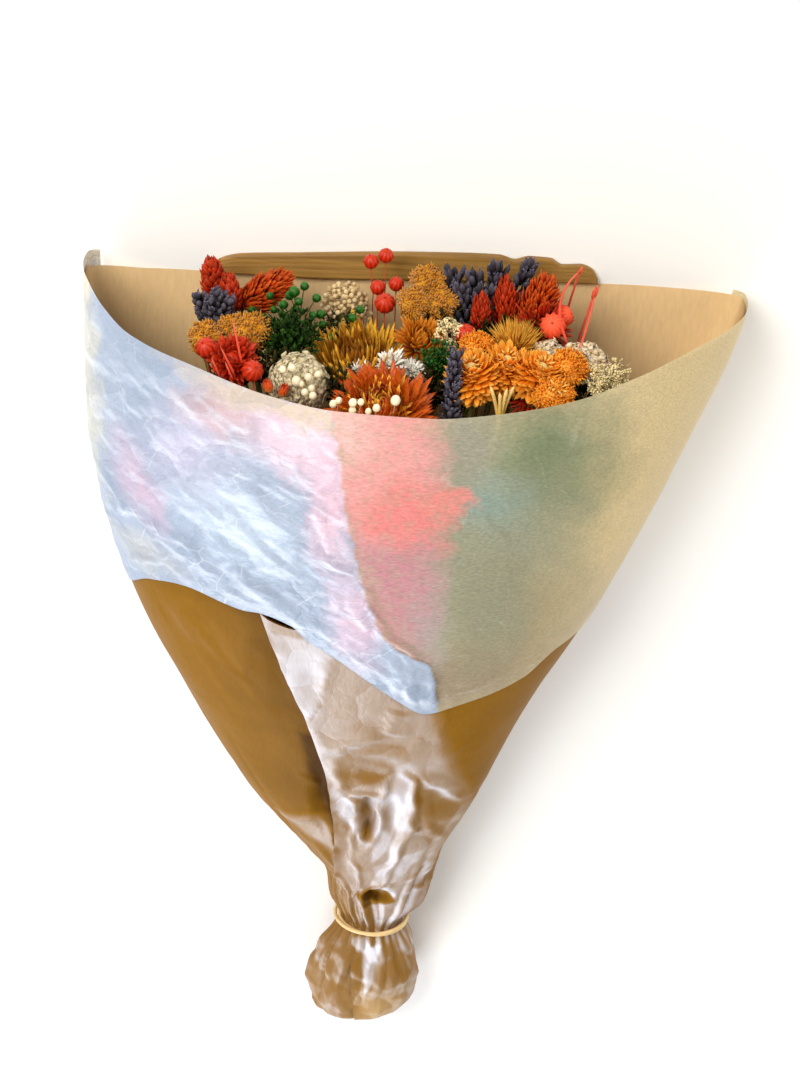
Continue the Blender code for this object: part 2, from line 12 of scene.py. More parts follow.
# %% Load the frame
import bpy
import numpy as np
from mathutils import Matrix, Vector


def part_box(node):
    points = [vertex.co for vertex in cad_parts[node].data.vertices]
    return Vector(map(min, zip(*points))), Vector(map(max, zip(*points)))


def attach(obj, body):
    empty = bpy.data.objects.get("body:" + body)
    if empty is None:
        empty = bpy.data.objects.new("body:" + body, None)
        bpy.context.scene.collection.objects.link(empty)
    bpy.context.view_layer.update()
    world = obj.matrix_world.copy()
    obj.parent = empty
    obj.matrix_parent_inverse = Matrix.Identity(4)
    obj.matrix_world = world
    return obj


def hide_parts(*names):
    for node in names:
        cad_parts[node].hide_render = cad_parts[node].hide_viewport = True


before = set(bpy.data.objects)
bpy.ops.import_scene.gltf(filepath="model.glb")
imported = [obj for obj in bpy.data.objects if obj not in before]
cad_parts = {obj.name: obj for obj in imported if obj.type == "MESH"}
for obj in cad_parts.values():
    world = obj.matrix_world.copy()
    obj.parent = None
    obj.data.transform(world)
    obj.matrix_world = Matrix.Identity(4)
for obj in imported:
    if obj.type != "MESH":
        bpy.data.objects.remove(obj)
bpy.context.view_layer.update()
MM = 0.001
GOLDEN_TURN = 2.39996
random = np.random.default_rng(11)
scene = bpy.context.scene

# %% [markdown]
# ## Camera and light
#
# The camera looks down on the mouth from above it, a little turned, with a short telephoto
# lens. It is placed by the point it looks at, its distance, its tilt and its turn, because
# these four can be changed one at a time. Wide lamps give soft shadows, as a window does: one
# from the left of the mouth, a cool one from the tail side and a weak, warm one from the right.

# %% Camera
AIM = np.array([1.3, 83.5, 50.0]) * MM
DISTANCE = 0.771
TILT = np.radians(25.0)
TURN = np.radians(3.8)
SENSOR = 36.0
FOCAL_SHARE = 1822 / 1067

look = np.array([0.0, -np.sin(TILT), -np.cos(TILT)])
level = np.array([1.0, 0.0, 0.0])
upward = np.cross(level, look)
camera_x = np.cos(TURN) * level + np.sin(TURN) * upward
camera_y = -np.sin(TURN) * level + np.cos(TURN) * upward


def put(name, data, axes, place):
    """A new object with its three axes, as the columns of a matrix, and its place."""
    matrix = np.eye(4)
    matrix[:3, :3] = np.stack(axes, axis=1)
    matrix[:3, 3] = place
    item = bpy.data.objects.new(name, data)
    item.matrix_world = Matrix(matrix.tolist())
    scene.collection.objects.link(item)
    return item


lens = bpy.data.cameras.new("camera")
lens.sensor_fit = "AUTO"
lens.sensor_width = SENSOR
lens.lens = SENSOR * FOCAL_SHARE
lens.clip_start = 0.01
scene.camera = put("camera", lens, [camera_x, camera_y, -look], AIM - look * DISTANCE)
print("camera at", np.round(AIM - look * DISTANCE, 3))

# %% Light
scene.view_settings.view_transform = "Standard"
world = bpy.data.worlds.new("studio")
scene.world = world
world.use_nodes = True
world.node_tree.nodes["Background"].inputs["Color"].default_value = (1.0, 0.99, 0.98, 1.0)
world.node_tree.nodes["Background"].inputs["Strength"].default_value = 0.55
LAMPS = (  # name, place, target, power and colour
    ("window", (-0.5, 0.75, 1.0), (0, 0.1, 0.05), 12.0, (1.0, 0.96, 0.88)),
    ("tail_side", (-0.50, -0.95, 0.42), (0, 0.0, 0.05), 10.0, (0.90, 0.93, 1.0)),
    ("warm_side", (0.9, 0.25, 0.55), (0, 0.1, 0.05), 3.0, (1.0, 0.90, 0.76)))
LAMP_SIZE = 0.6
for name, place, target, power, colour in LAMPS:
    lamp = bpy.data.lights.new(name, "AREA")
    lamp.shape = "SQUARE"
    lamp.size = LAMP_SIZE
    lamp.energy = power
    lamp.color = colour
    back = np.array(place) - np.array(target)
    back = back / np.linalg.norm(back)
    across = np.cross([0.0, 0.0, 1.0], back)
    across = across / np.linalg.norm(across)
    put(name, lamp, [across, np.cross(back, across), back], place)
print("lamps:", len(LAMPS))

# %% [markdown]
# ## Reading the frame
#
# Each sprig in the frame is a row of rings across the bouquet's length. The middles of the
# rings are the stem's line, and the rings widen where the head is. Averaging the points that
# share one Y gives both, for the whole sprig at once.

# %% Stem line and head of a sprig
PAPERS = ("kraft_wrap", "tissue_sheet", "back_hem", "rubber_band")
HEAD_SHARE = 1.3


def read_sprig(name):
    """Line of the stem, and where the head is.

    Points are grouped by their Y; each group's middle is a point of the line and its mean
    distance from the middle is the radius there.  The head is where the radius is over
    HEAD_SHARE times the stem's.
    """
    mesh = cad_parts[name].data
    points = np.empty(len(mesh.vertices) * 3)
    mesh.vertices.foreach_get("co", points)
    points = np.unique(np.round(points.reshape(-1, 3), 6), axis=0)
    group = np.unique(np.round(points[:, 1], 4), return_inverse=True)[1].reshape(-1)
    size = np.bincount(group)
    line = np.stack([np.bincount(group, points[:, axis]) / size for axis in range(3)], axis=1)
    radius = np.bincount(group, np.linalg.norm(points - line[group], axis=1)) / size
    in_head = np.nonzero(radius > HEAD_SHARE * np.median(radius[:8]))[0]
    low, high = line[in_head[0]], line[in_head[-1]]
    return {"line": line, "low": low, "high": high, "middle": (low + high) / 2,
            "length": high[1] - low[1], "neck_row": in_head[0]}


sprigs = {name: read_sprig(name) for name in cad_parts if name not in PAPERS}
print("sprigs:", len(sprigs))

# %% [markdown]
# ## Shapes carried along paths
#
# A Blender learner could model one petal by hand and scatter copies. Here each petal is worked
# out with numpy instead, so that no two are alike and every one is a closed shape. A path runs
# from a pole at its base to a pole at its tip, and an oval stands round each point between.

# %% Closed shapes


def unit(vectors):
    """Vectors scaled to length one."""
    return vectors / np.maximum(np.linalg.norm(vectors, axis=-1, keepdims=True), 1e-12)


def square_to(vectors):
    """For each vector some direction at a right angle to it."""
    helper = np.where(np.abs(vectors[..., :1]) < 0.7, [1.0, 0.0, 0.0], [0.0, 0.0, 1.0])
    return unit(np.cross(vectors, helper))


def closed_shapes(path, up, wide, thick, sides=6, cup=0.0, ribs=0, groove=0.0, tint=None, use=0):
    """Closed shapes along paths, as one part of a piece.

    At turn a round the path the skin is at: path + wide * cos(a) * side + thick * sin(a) * up.
    cup lifts the edges by cup * wide * cos(a)^2 along up, and ribs and groove make the skin
    wave as 1 + groove * cos(ribs * a), with the tint waving along.
    path is (shapes, rows, 3), up is (shapes, 3), and wide and thick are (shapes, rows).
    """
    shapes, rows = path.shape[:2]
    along = unit(np.gradient(path, axis=1))
    side = unit(np.cross(up[:, None, :], along))
    lift = np.cross(along, side)
    turn = np.arange(sides) * 2 * np.pi / sides
    wave = 1 + groove * np.cos(ribs * turn)
    wide = np.broadcast_to(wide, (shapes, rows))[:, 1:-1, None]
    thick = np.broadcast_to(thick, (shapes, rows))[:, 1:-1, None]
    out = wide * np.cos(turn) * wave
    rise = thick * np.sin(turn) * wave + cup * wide * np.cos(turn) ** 2
    rings = (path[:, 1:-1, None] + out[..., None] * side[:, 1:-1, None]
             + rise[..., None] * lift[:, 1:-1, None])
    points = np.concatenate([path[:, :1], rings.reshape(shapes, -1, 3), path[:, -1:]], axis=1)
    per_shape = points.shape[1]
    ring = np.arange(rows - 3)[:, None] * sides + 1
    here = np.arange(sides)
    after = (here + 1) % sides
    quads = np.stack([ring + here, ring + after, ring + sides + after, ring + sides + here], -1)
    last = (rows - 3) * sides + 1
    ends = np.concatenate([
        np.stack([0 * here, 1 + after, 1 + here], -1),
        np.stack([0 * here + per_shape - 1, last + here, last + after], -1)])
    first = np.arange(shapes)[:, None, None] * per_shape
    share = np.concatenate([[0], np.repeat(np.linspace(0, 1, rows)[1:-1], sides), [1]])
    if tint is None:
        tint = random.random(shapes)
    # the tint waves with the ribs and is lowest in the grooves. On the red and green pods, whose finishes
    # darken low tints, this is painted shade in the grooves; on the coral lanterns it gives pale stripes.
    stripe = 0.0 * share
    if ribs:
        stripe[1:-1] = np.tile(0.35 * np.cos(ribs * turn), rows - 2)
    return {
        "points": points.reshape(-1, 3),
        "quads": (quads.reshape(1, -1, 4) + first).reshape(-1, 4),
        "triangles": (ends.reshape(1, -1, 3) + first).reshape(-1, 3),
        "along": np.tile(share, shapes),
        "tint": (np.broadcast_to(tint, shapes)[:, None] + stripe).reshape(-1),
        "use": use,
    }


# %% Blades, balls, rods


def blades(base, outward, axis, length, wide, lean=0.0, curl=0.0, outline=(0, .7, 1, .8, 0),
           thin=0.12, cup=0.0, sides=6, tint=None, use=0):
    """Petals, bracts, leaves and needles.

    A blade starts at base and goes at an angle of lean + curl * t above the outward direction,
    towards the axis, where t runs from 0 at its base to 1 at its tip.  Its half width is
    wide * outline, and its half thickness is thin times that.
    """
    base, outward, axis = np.broadcast_arrays(base, outward, axis)
    count = len(base)
    outline = np.array(outline, dtype=float)
    steps = len(outline) - 1
    t = (np.arange(steps) + 0.5) / steps
    lean = np.broadcast_to(lean, count)[:, None]
    curl = np.broadcast_to(curl, count)[:, None]
    angle = lean + curl * t
    move = np.cos(angle)[..., None] * outward[:, None] + np.sin(angle)[..., None] * axis[:, None]
    move = move * (np.broadcast_to(length, count) / steps)[:, None, None]
    path = base[:, None] + np.concatenate([np.zeros((count, 1, 3)), np.cumsum(move, axis=1)], 1)
    middle = lean + curl / 2
    up = np.cos(middle) * axis - np.sin(middle) * outward
    half = np.broadcast_to(wide, count)[:, None] * outline
    return closed_shapes(path, up, half, half * thin, sides, cup, tint=tint, use=use)


def balls(centre, radius, axis=None, stretch=1.0, rows=5, sides=6, tint=None, use=0, ribs=0,
          groove=0.0):
    """Round closed shapes.  A ball's radius at height h along its axis is sqrt(r^2 - h^2)."""
    count = len(centre)
    radius = np.broadcast_to(radius, count)[:, None]
    if axis is None:
        axis = unit(random.normal(size=(count, 3)))
    axis = np.broadcast_to(axis, (count, 3))
    height = -np.cos(np.linspace(0, np.pi, rows))
    path = centre[:, None] + (radius * height * stretch)[..., None] * axis[:, None]
    half = radius * np.sqrt(np.maximum(1 - height ** 2, 0))
    return closed_shapes(path, square_to(axis), half, half, sides, 0.0, ribs, groove, tint, use)


def rods(base, tip, bow, radius, rows=6, sides=4, use=0, taper=0.6):
    """Thin stems that bend by bow: path = base + (tip - base) t + 4 bow t (1 - t)."""
    t = np.linspace(0, 1, rows)[None, :, None]
    path = base[:, None] + (tip - base)[:, None] * t + 4 * bow[:, None] * t * (1 - t)
    half = np.broadcast_to(radius, len(base))[:, None] * np.linspace(1, taper, rows)
    return closed_shapes(path, square_to(unit(tip - base)), half, half, sides, use=use)


# %% Directions and small differences


def loose(count, amount):
    """Numbers round 0, about as large as an amount."""
    return random.normal(size=count) * amount


def uneven(count, share=0.15):
    """Factors near one, for petals that differ a little in size."""
    return 1 + loose(count, share)


def mm(*values):
    """Lengths in metres from millimetres."""
    return np.array(values, dtype=float) * MM


def turned(turn, axis):
    """Directions square to an axis: cos(turn) * first + sin(turn) * second."""
    first = square_to(axis)
    return np.cos(turn)[:, None] * first + np.sin(turn)[:, None] * np.cross(axis, first)


def round_turns(count, axis, step=GOLDEN_TURN):
    """Directions square to an axis, each a step of turn on from the last."""
    return turned(np.arange(count) * step + loose(count, 0.1), axis)


def spread(count, axis, start, stop, jitter=0.0):
    """Directions round an axis, in equal areas between two angles from it.

    Each direction is turned by the golden angle from the last, as seeds in a flower head are.
    Gives the directions square to the axis and the angles from it.
    """
    share = (np.arange(count) + 0.5) / count
    share = np.clip(share + loose(count, jitter), 0, 1)
    polar = np.arccos(np.cos(start) + share * (np.cos(stop) - np.cos(start)))
    turn = np.arange(count) * GOLDEN_TURN + loose(count, jitter) * 2
    return turned(turn, unit(np.array(axis, dtype=float))), polar


def directions(radial, polar, axis):
    """Unit vectors at a polar angle from the axis on the side of radial."""
    axis = unit(np.array(axis, dtype=float))
    return np.sin(polar)[:, None] * radial + np.cos(polar)[:, None] * axis


# %% [markdown]
# ## Putting a piece together
#
# A piece gathers its parts, writes them to one mesh in whole arrays and stores two numbers at
# every point: how far along its own petal the point is, and a tint that is the same all over
# one petal. The finishes read both, so petals can fade towards their tips and differ.

# %% Piece from parts


def tuck_in(points, gap=1.2):
    """Points of a sprig pressed back where they would come through the paper in front.

    Below the rim, z is at most the front's height at that x and station, less a gap.
    """
    x, station, z = points.T / MM + np.array([[0], [TAIL_END], [0]])
    left, right, up, _, centre_x, centre_z = np.moveaxis(read_table(SECTIONS, station), -1, 0)
    across = x - centre_x
    share = np.clip(np.abs(across) / np.where(across >= 0, right, left), 0, 0.99)
    top = centre_z + up * (1 - share ** ROUNDNESS) ** (1 / ROUNDNESS) - gap
    rim = read_table(TISSUE_TOP, x)[..., 0]
    press = (z > top) * (1 - ease(station, rim - 1.0, rim + 3.0))
    return np.stack([points[:, 0], points[:, 1], (z + (top - z) * press) * MM], axis=1)


def make_piece(name, parts, finishes, nodes=(), tuck=True):
    """One mesh object from parts, riding on the body, in the place of the given frame nodes.

    finishes is one or more names, in the order that the parts' use counts them.
    """
    first = np.cumsum([0] + [len(part["points"]) for part in parts])
    points = np.concatenate([part["points"] for part in parts])
    if tuck:
        points = tuck_in(points)
    groups = [(part[kind] + start, part["use"]) for part, start in zip(parts, first)
              for kind in ("quads", "triangles")]
    corners = np.concatenate([faces.reshape(-1) for faces, _ in groups])
    sizes = np.concatenate([np.full(len(faces), faces.shape[1]) for faces, _ in groups])
    uses = np.concatenate([np.full(len(faces), use) for faces, use in groups])
    mesh = bpy.data.meshes.new(name)
    mesh.vertices.add(len(points))
    mesh.vertices.foreach_set("co", points.astype(np.float32).reshape(-1))
    mesh.loops.add(len(corners))
    mesh.loops.foreach_set("vertex_index", corners.astype(np.int32))
    mesh.polygons.add(len(sizes))
    mesh.polygons.foreach_set("loop_start", (np.cumsum(sizes) - sizes).astype(np.int32))
    mesh.polygons.foreach_set("material_index", uses.astype(np.int32))
    mesh.update(calc_edges=True)
    mesh.shade_smooth()
    for key in ("along", "tint"):
        values = np.concatenate([part[key] for part in parts]).astype(np.float32)
        mesh.attributes.new(key, "FLOAT", "POINT").data.foreach_set("value", values)
    for finish in finishes.split():
        mesh.materials.append(paints[finish])
    piece = bpy.data.objects.new(name, mesh)
    scene.collection.objects.link(piece)
    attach(piece, "root")
    if nodes:
        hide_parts(*nodes)
    triangles[name] = int((sizes - 2).sum())
    return piece


def count_of(word):
    """Triangles of all pieces with a word in their name."""
    return sum(number for name, number in triangles.items() if word in name)


triangles = {}
paints = {}

# %% [markdown]
# ## Building shaders
#
# A shader is a tree of small nodes. Each helper below adds one and gives its result, so a tree
# reads like a formula: an input may be a number, a colour or the result of another helper.

# %% Shader nodes
EDGES = "DISTANCE_TO_EDGE"


def give(tree, socket, value):
    """Sets an input to a number, a vector or a colour, or to what another node gives."""
    if isinstance(value, bpy.types.NodeSocket):
        tree.links.new(value, socket)
    elif socket.type == "RGBA":
        socket.default_value = (*value, 1.0)
    else:
        socket.default_value = value


def settle(tree, item, **settings):
    """Gives a node its settings: each is one of its inputs, or else one of its properties."""
    for key, value in settings.items():
        socket = key.replace("_", " ")
        if socket in item.inputs:
            give(tree, item.inputs[socket], value)
        else:
            setattr(item, key, value)


def node(tree, kind, output, **settings):
    """One output of a new shader node with its settings."""
    item = tree.nodes.new("ShaderNode" + kind)
    settle(tree, item, **settings)
    return item.outputs[output]


def new_paint(name):
    """A new material: its node tree, its shader, and the place of each point on its object."""
    paint = bpy.data.materials.new(name)
    paint.use_nodes = True
    paints[name] = paint
    tree = paint.node_tree
    return tree, tree.nodes["Principled BSDF"], node(tree, "TexCoord", "Object")


def attribute(tree, name):
    """A number stored at the mesh's points."""
    return node(tree, "Attribute", "Fac", attribute_name=name)


def noise(tree, vector, scale, detail=4.0, rough=0.6, output="Fac"):
    """Smooth noise: Fac gives a number round 0.5, Color three of them."""
    return node(tree, "TexNoise", output, Vector=vector, Scale=scale, Detail=detail, Roughness=rough)


def ramp(tree, source, stops):
    """A colour ramp fed by a value, with (place, colour) stops."""
    item = tree.nodes.new("ShaderNodeValToRGB")
    while len(item.color_ramp.elements) < len(stops):
        item.color_ramp.elements.new(0.5)
    for element, (place, colour) in zip(item.color_ramp.elements, stops):
        element.position = place
        element.color = (*colour, 1.0)
    tree.links.new(source, item.inputs["Fac"])
    return item.outputs["Color"]


def blend(tree, kind, factor, first, second):
    """A colour mix: kind is MIX, MULTIPLY and so on."""
    item = tree.nodes.new("ShaderNodeMix")
    item.data_type = "RGBA"
    item.blend_type = kind
    for number, value in ((0, factor), (6, first), (7, second)):
        give(tree, item.inputs[number], value)
    return item.outputs[2]


def combined(tree, kind, operation, *values):
    """Values put together by a Math or a VectorMath node."""
    item = tree.nodes.new("ShaderNode" + kind)
    item.operation = operation
    for socket, value in zip(item.inputs, values):
        give(tree, socket, value)
    return item.outputs[0]


def mapped(tree, source, low, high, to_low, to_high):
    """A value moved from one range to another, kept inside it."""
    return node(tree, "MapRange", "Result", Value=source, From_Min=low, From_Max=high, To_Min=to_low,
                To_Max=to_high)


def scaled(tree, vector, scale, turn=0.0, centre=(0.0, 0.0, 0.0)):
    """A vector turned about Z and scaled, and moved to a centre."""
    return node(tree, "Mapping", "Vector", Vector=vector, Location=centre,
                Rotation=(0.0, 0.0, np.radians(turn)), Scale=scale)


def pushed(tree, vector, scale, amount):
    """A vector pushed about by a noise, so that what is read there gets uneven edges."""
    return combined(tree, "VectorMath", "MULTIPLY_ADD", noise(tree, vector, scale, 3.0, output="Color"),
                    (amount,) * 3, vector)


def cells(tree, vector, feature, detail=0.0):
    """Cells of a Voronoi texture: EDGES for their roofs, F1 for a tone for each."""
    output = "Distance" if feature == EDGES else "Color"
    return node(tree, "TexVoronoi", output, feature=feature, Vector=vector, Scale=1.0, Detail=detail,
                Roughness=0.5)


def relief(tree, height, depth, strength=1.0, **under):
    """A bump from a height, depth metres for one unit; Normal=... lays it over another bump."""
    return node(tree, "Bump", "Normal", Height=height, Distance=depth, Strength=strength, **under)


def srgb(red, green, blue):
    """A colour given as 0 to 255, as light amounts."""
    value = np.array([red, green, blue]) / 255
    return tuple(np.where(value < 0.04045, value / 12.92, ((value + 0.055) / 1.055) ** 2.4))


def rgb_stops(*rows):
    """Stops of a ramp from (place, red, green, blue) rows, with colours as 0 to 255."""
    return [(row[0], srgb(*row[1:])) for row in rows]


# %% Floor
tree, shader, place = new_paint("floor_paint")
settle(tree, shader, Base_Color=(.93, .93, .92), Roughness=0.7)
floor_mesh = bpy.data.meshes.new("floor")
floor_mesh.from_pydata([(-4, -4, 0), (4, -4, 0), (4, 4, 0), (-4, 4, 0)], [], [(0, 1, 2, 3)])
floor_mesh.materials.append(paints["floor_paint"])
floor = put("floor", floor_mesh, np.eye(3), (0, 0, 0))
print("floor laid")

# %% [markdown]
# ## Finishes of the plants
#
# Dyed dried petals are matt, fade from base to tip, differ from petal to petal and are finely
# mottled. One function sets that up: a colour ramp along the petal, a lighter or darker value
# from its tint, and a fine noise that mottles the colour and roughens the surface. A table
# then gives each kind of plant its colours.

# %% Plant finishes


def plant_finish(name, base, middle, tip, rough, vary, mottle, grain=1400.0, bump=0.25, other=None,
                 other_share=0.5, sheen=0.0):
    """A plant's finish: base, middle and tip colours along a petal, and a tint for each one.

    vary is how far the tint darkens a petal, and petals whose tint is under other_share take
    the other colour.
    """
    tree, shader, place = new_paint(name)
    tint = attribute(tree, "tint")
    colour = ramp(tree, attribute(tree, "along"), rgb_stops((0.0, *base), (0.5, *middle), (1.0, *tip)))
    if other is not None:
        pick = ramp(tree, tint, ((other_share - 0.08, (1, 1, 1)), (other_share + 0.08, (0, 0, 0))))
        colour = blend(tree, "MIX", pick, colour, srgb(*other))
    colour = node(tree, "HueSaturation", "Color", Saturation=1.0, Color=colour,
                  Value=mapped(tree, tint, 0.0, 1.0, 1 - vary, 1 + vary * 0.6))
    mottles = noise(tree, place, grain, rough=0.65)
    spots = ramp(tree, mottles, ((0.3, (1 - mottle,) * 3), (0.65, (1.0, 1.0, 1.0))))
    settle(tree, shader, Base_Color=blend(tree, "MULTIPLY", 1.0, colour, spots),
           Normal=relief(tree, mottles, 0.0003, bump), Roughness=rough,
           Specular_IOR_Level=0.12 if rough > 0.45 else 0.3, Sheen_Weight=sheen, Sheen_Roughness=0.4)


FINISHES = (  # name; colours at base, middle and tip; roughness; tint's effect; mottling; more
    ("dried_stem", (122, 104, 58), (130, 120, 62), (92, 100, 52), 0.7, 0.2, 0.25),
    ("canary_red", (86, 12, 5), (168, 38, 12), (206, 70, 26), 0.5, 0.35, 0.3),
    ("canary_orange", (110, 20, 6), (184, 50, 12), (226, 106, 34), 0.5, 0.3, 0.25),
    ("lavender_bud", (34, 30, 34), (64, 58, 66), (102, 96, 110), 0.75, 0.45, 0.4),
    ("lavender_petal", (78, 74, 96), (110, 106, 134), (160, 156, 182), 0.7, 0.3, 0.25),
    ("mustard_floret", (140, 78, 8), (204, 130, 20), (232, 166, 52), 0.85, 0.22, 0.12, 1400.0, 0.25,
     None, 0.5, 0.3),
    ("orange_petal", (216, 98, 8), (246, 142, 24), (252, 180, 72), 0.55, 0.2, 0.1),
    ("orange_button", (240, 170, 60), (248, 200, 100), (252, 226, 150), 0.5, 0.1, 0.25),
    ("flax_pod_red", (196, 36, 8), (212, 44, 10), (222, 60, 22), 0.38, 0.45, 0.2),
    ("pod_stem", (150, 110, 70), (204, 96, 66), (214, 74, 48), 0.6, 0.1, 0.25),
    ("lantern_coral", (232, 70, 36), (236, 78, 44), (240, 100, 66), 0.5, -0.6, 0.15),
    ("green_pod", (8, 34, 4), (22, 84, 12), (56, 128, 30), 0.42, 0.4, 0.35),
    ("green_leaf", (14, 30, 6), (30, 62, 12), (56, 92, 24), 0.55, 0.5, 0.3),
    ("white_petal", (214, 186, 140), (238, 216, 178), (250, 234, 206), 0.7, 0.14, 0.1),
    ("grey_petal", (182, 164, 118), (216, 200, 158), (240, 228, 196), 0.7, 0.16, 0.1),
    ("cream_petal", (222, 194, 118), (248, 228, 168), (254, 244, 206), 0.7, 0.15, 0.1),
    ("cream_ball", (196, 164, 110), (222, 194, 144), (238, 216, 172), 0.6, 0.15, 0.15),
    ("pale_twig", (158, 138, 92), (186, 166, 116), (206, 188, 142), 0.7, 0.1, 0.25),
    ("broom_coral", (214, 70, 64), (240, 84, 72), (250, 118, 100), 0.7, 0.3, 0.25),
    ("broom_teal", (18, 74, 62), (40, 116, 98), (96, 160, 138), 0.7, 0.35, 0.25),
    ("straw_orange", (246, 170, 36), (226, 116, 20), (186, 66, 12), 0.42, 0.2, 0.2, 600.0, 0.15,
     (150, 40, 8), 0.35),
    ("straw_inner", (230, 150, 24), (252, 196, 56), (250, 176, 52), 0.42, 0.25, 0.15, 600.0, 0.15),
    ("straw_gold", (190, 112, 14), (204, 138, 26), (228, 172, 52), 0.46, 0.25, 0.25, 600.0, 0.15,
     (160, 96, 20), 0.5),
    ("straw_amber", (156, 70, 8), (196, 102, 16), (222, 140, 38), 0.46, 0.3, 0.2),
    ("daisy_petal", (226, 214, 180), (248, 244, 230), (252, 250, 242), 0.6, 0.08, 0.06),
    ("thistle_needle", (130, 70, 10), (220, 142, 32), (242, 186, 76), 0.5, 0.3, 0.2),
    ("fork_gold", (222, 168, 66), (242, 200, 104), (250, 222, 152), 0.5, 0.1, 0.25),
    ("bud_coral", (226, 78, 56), (240, 92, 66), (248, 120, 92), 0.5, 0.15, 0.25),
    ("pale_ball", (232, 206, 150), (250, 236, 196), (252, 244, 218), 0.45, 0.12, 0.08),
    ("bud_orange", (236, 196, 120), (224, 92, 26), (200, 56, 14), 0.45, 0.2, 0.25),
    ("red_petal", (140, 18, 5), (196, 42, 12), (218, 70, 26), 0.45, 0.3, 0.25),
    ("dark_leaf", (24, 26, 12), (44, 44, 18), (78, 66, 24), 0.65, 0.5, 0.3))
for row in FINISHES:
    plant_finish(*row)
print("plant finishes:", len(FINISHES))

# %% [markdown]
# ## The wrap's shape
#
# The kraft paper is one sheet rolled to a cone, lapped over itself down the front, gathered at
# a neck and puffed out again into a tail. Its outline is a row of sections along the length,
# the same numbers as the frame's. A section is an arch above a flatter arch, so the sheet is
# one function of the turn round it and the station along it, in millimetres here.

# %% Sections of the wrap
TAIL_END = -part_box("kraft_wrap")[0][1] / MM
SECTIONS = np.array([  # station, left, right, up, down, centre x, centre z
    (0, 16, 16, 10, 9, -6, 18), (5, 21, 21, 15, 13, -5.5, 17), (16, 24, 25, 19, 16.5, -4, 17),
    (32, 25, 25.5, 21, 18.5, -2.5, 18), (48, 21, 22, 18, 15, -1, 20), (63, 14.5, 14.5, 14.5, 14, 0, 20),
    (78, 19, 24, 18, 16, 0, 21), (92, 21, 27.5, 23, 19, 0, 22), (113, 38, 32, 32, 22.5, 0, 22),
    (143, 63, 46.5, 44, 22.5, 0, 21), (189, 90, 62.5, 60, 21.5, 0, 20),
    (247, 118.5, 90, 78, 19.5, 0, 18), (291, 131, 108, 88, 17.5, 0, 16),
    (328, 135.5, 121, 93, 16.5, 0, 15), (378, 136, 137, 97, 15.5, 0, 14),
    (394, 136.5, 139, 98, 15.5, 0, 14)], dtype=float)
MOUTH = 380.0
NECK = 63.0
ROUNDNESS = 2.1
FLATTER = 1.1


def read_table(table, where):
    """Values of a table between its rows, along curves that never overshoot a row.

    Each interval is a cubic whose end slopes are harmonic means of the slopes on both sides.
    """
    x = table[:, 0]
    y = table[:, 1:]
    where = np.clip(np.asarray(where, dtype=float), x[0], x[-1])
    step = np.diff(x)[:, None]
    slope = np.diff(y, axis=0) / step
    product = slope[1:] * slope[:-1]
    total = slope[1:] + slope[:-1]
    middle = np.where(product > 0, 2 * product / np.where(total == 0, 1, total), 0)
    tangent = np.vstack([slope[:1], middle, slope[-1:]])
    k = np.clip(np.searchsorted(x, where, side="right") - 1, 0, len(x) - 2)
    t = ((where - x[k]) / (x[k + 1] - x[k]))[..., None]
    h = step[k]
    return ((1 + 2 * t) * (1 - t) ** 2 * y[k] + t * (1 - t) ** 2 * h * tangent[k]
            + t * t * (3 - 2 * t) * y[k + 1] + t * t * (t - 1) * h * tangent[k + 1])


def wrap_point(turn, station, out=0.0):
    """A point of the wrap in millimetres: two half superellipses on one centre line.

    x = centre + reach * cos^(2/n), z = centre + rise * sin^(2/n); out moves the skin outwards,
    away from the centre line.
    """
    left, right, up, down, centre_x, centre_z = np.moveaxis(read_table(SECTIONS, station), -1, 0)
    c = np.cos(turn)
    s = np.sin(turn)
    reach = np.maximum(np.where(c >= 0, right, left) + out, 0.5)
    rise = np.maximum(np.where(s >= 0, up, down) + out, 0.5)
    power = 2 / (ROUNDNESS + FLATTER * np.clip((station - 90) / 60, 0, 1) * (s < 0))
    x = centre_x + reach * np.sign(c) * np.abs(c) ** power
    z = centre_z + rise * np.sign(s) * np.abs(s) ** power
    return x, z


def front_turn(x, station):
    """Turn at which the front of the wrap is at x: the inverse of wrap_point above the centre."""
    left, right, _, _, centre_x, _ = np.moveaxis(read_table(SECTIONS, station), -1, 0)
    across = x - centre_x
    share = np.clip(across / np.where(across >= 0, right, left), -1, 1)
    return np.arccos(np.sign(share) * np.abs(share) ** (ROUNDNESS / 2))


def to_metres(x, station, z):
    """Points of the frame from millimetres across, along and up."""
    return np.stack([x, station - TAIL_END, z], axis=-1) * MM


def ease(x, low, high):
    """Rises smoothly from 0 at low to 1 at high."""
    t = np.clip((x - low) / (high - low), 0, 1)
    return t * t * (3 - 2 * t)


print("tail end at station", round(TAIL_END, 1), "of the middle")

# %% [markdown]
# ## Crumpled paper
#
# Paper hardly stretches, so it crumples into flat facets that meet in sharp folds. A height
# map of that is the upper envelope of many low, turned pyramids: at each place the tallest
# one shows, and the lines where one takes over from the next are the folds. The maps are drawn
# once, as wide and long as the flat sheet in millimetres, and read where needed.

# %% Crumple maps
MAP_WIDTH, MAP_LENGTH = 900, 520


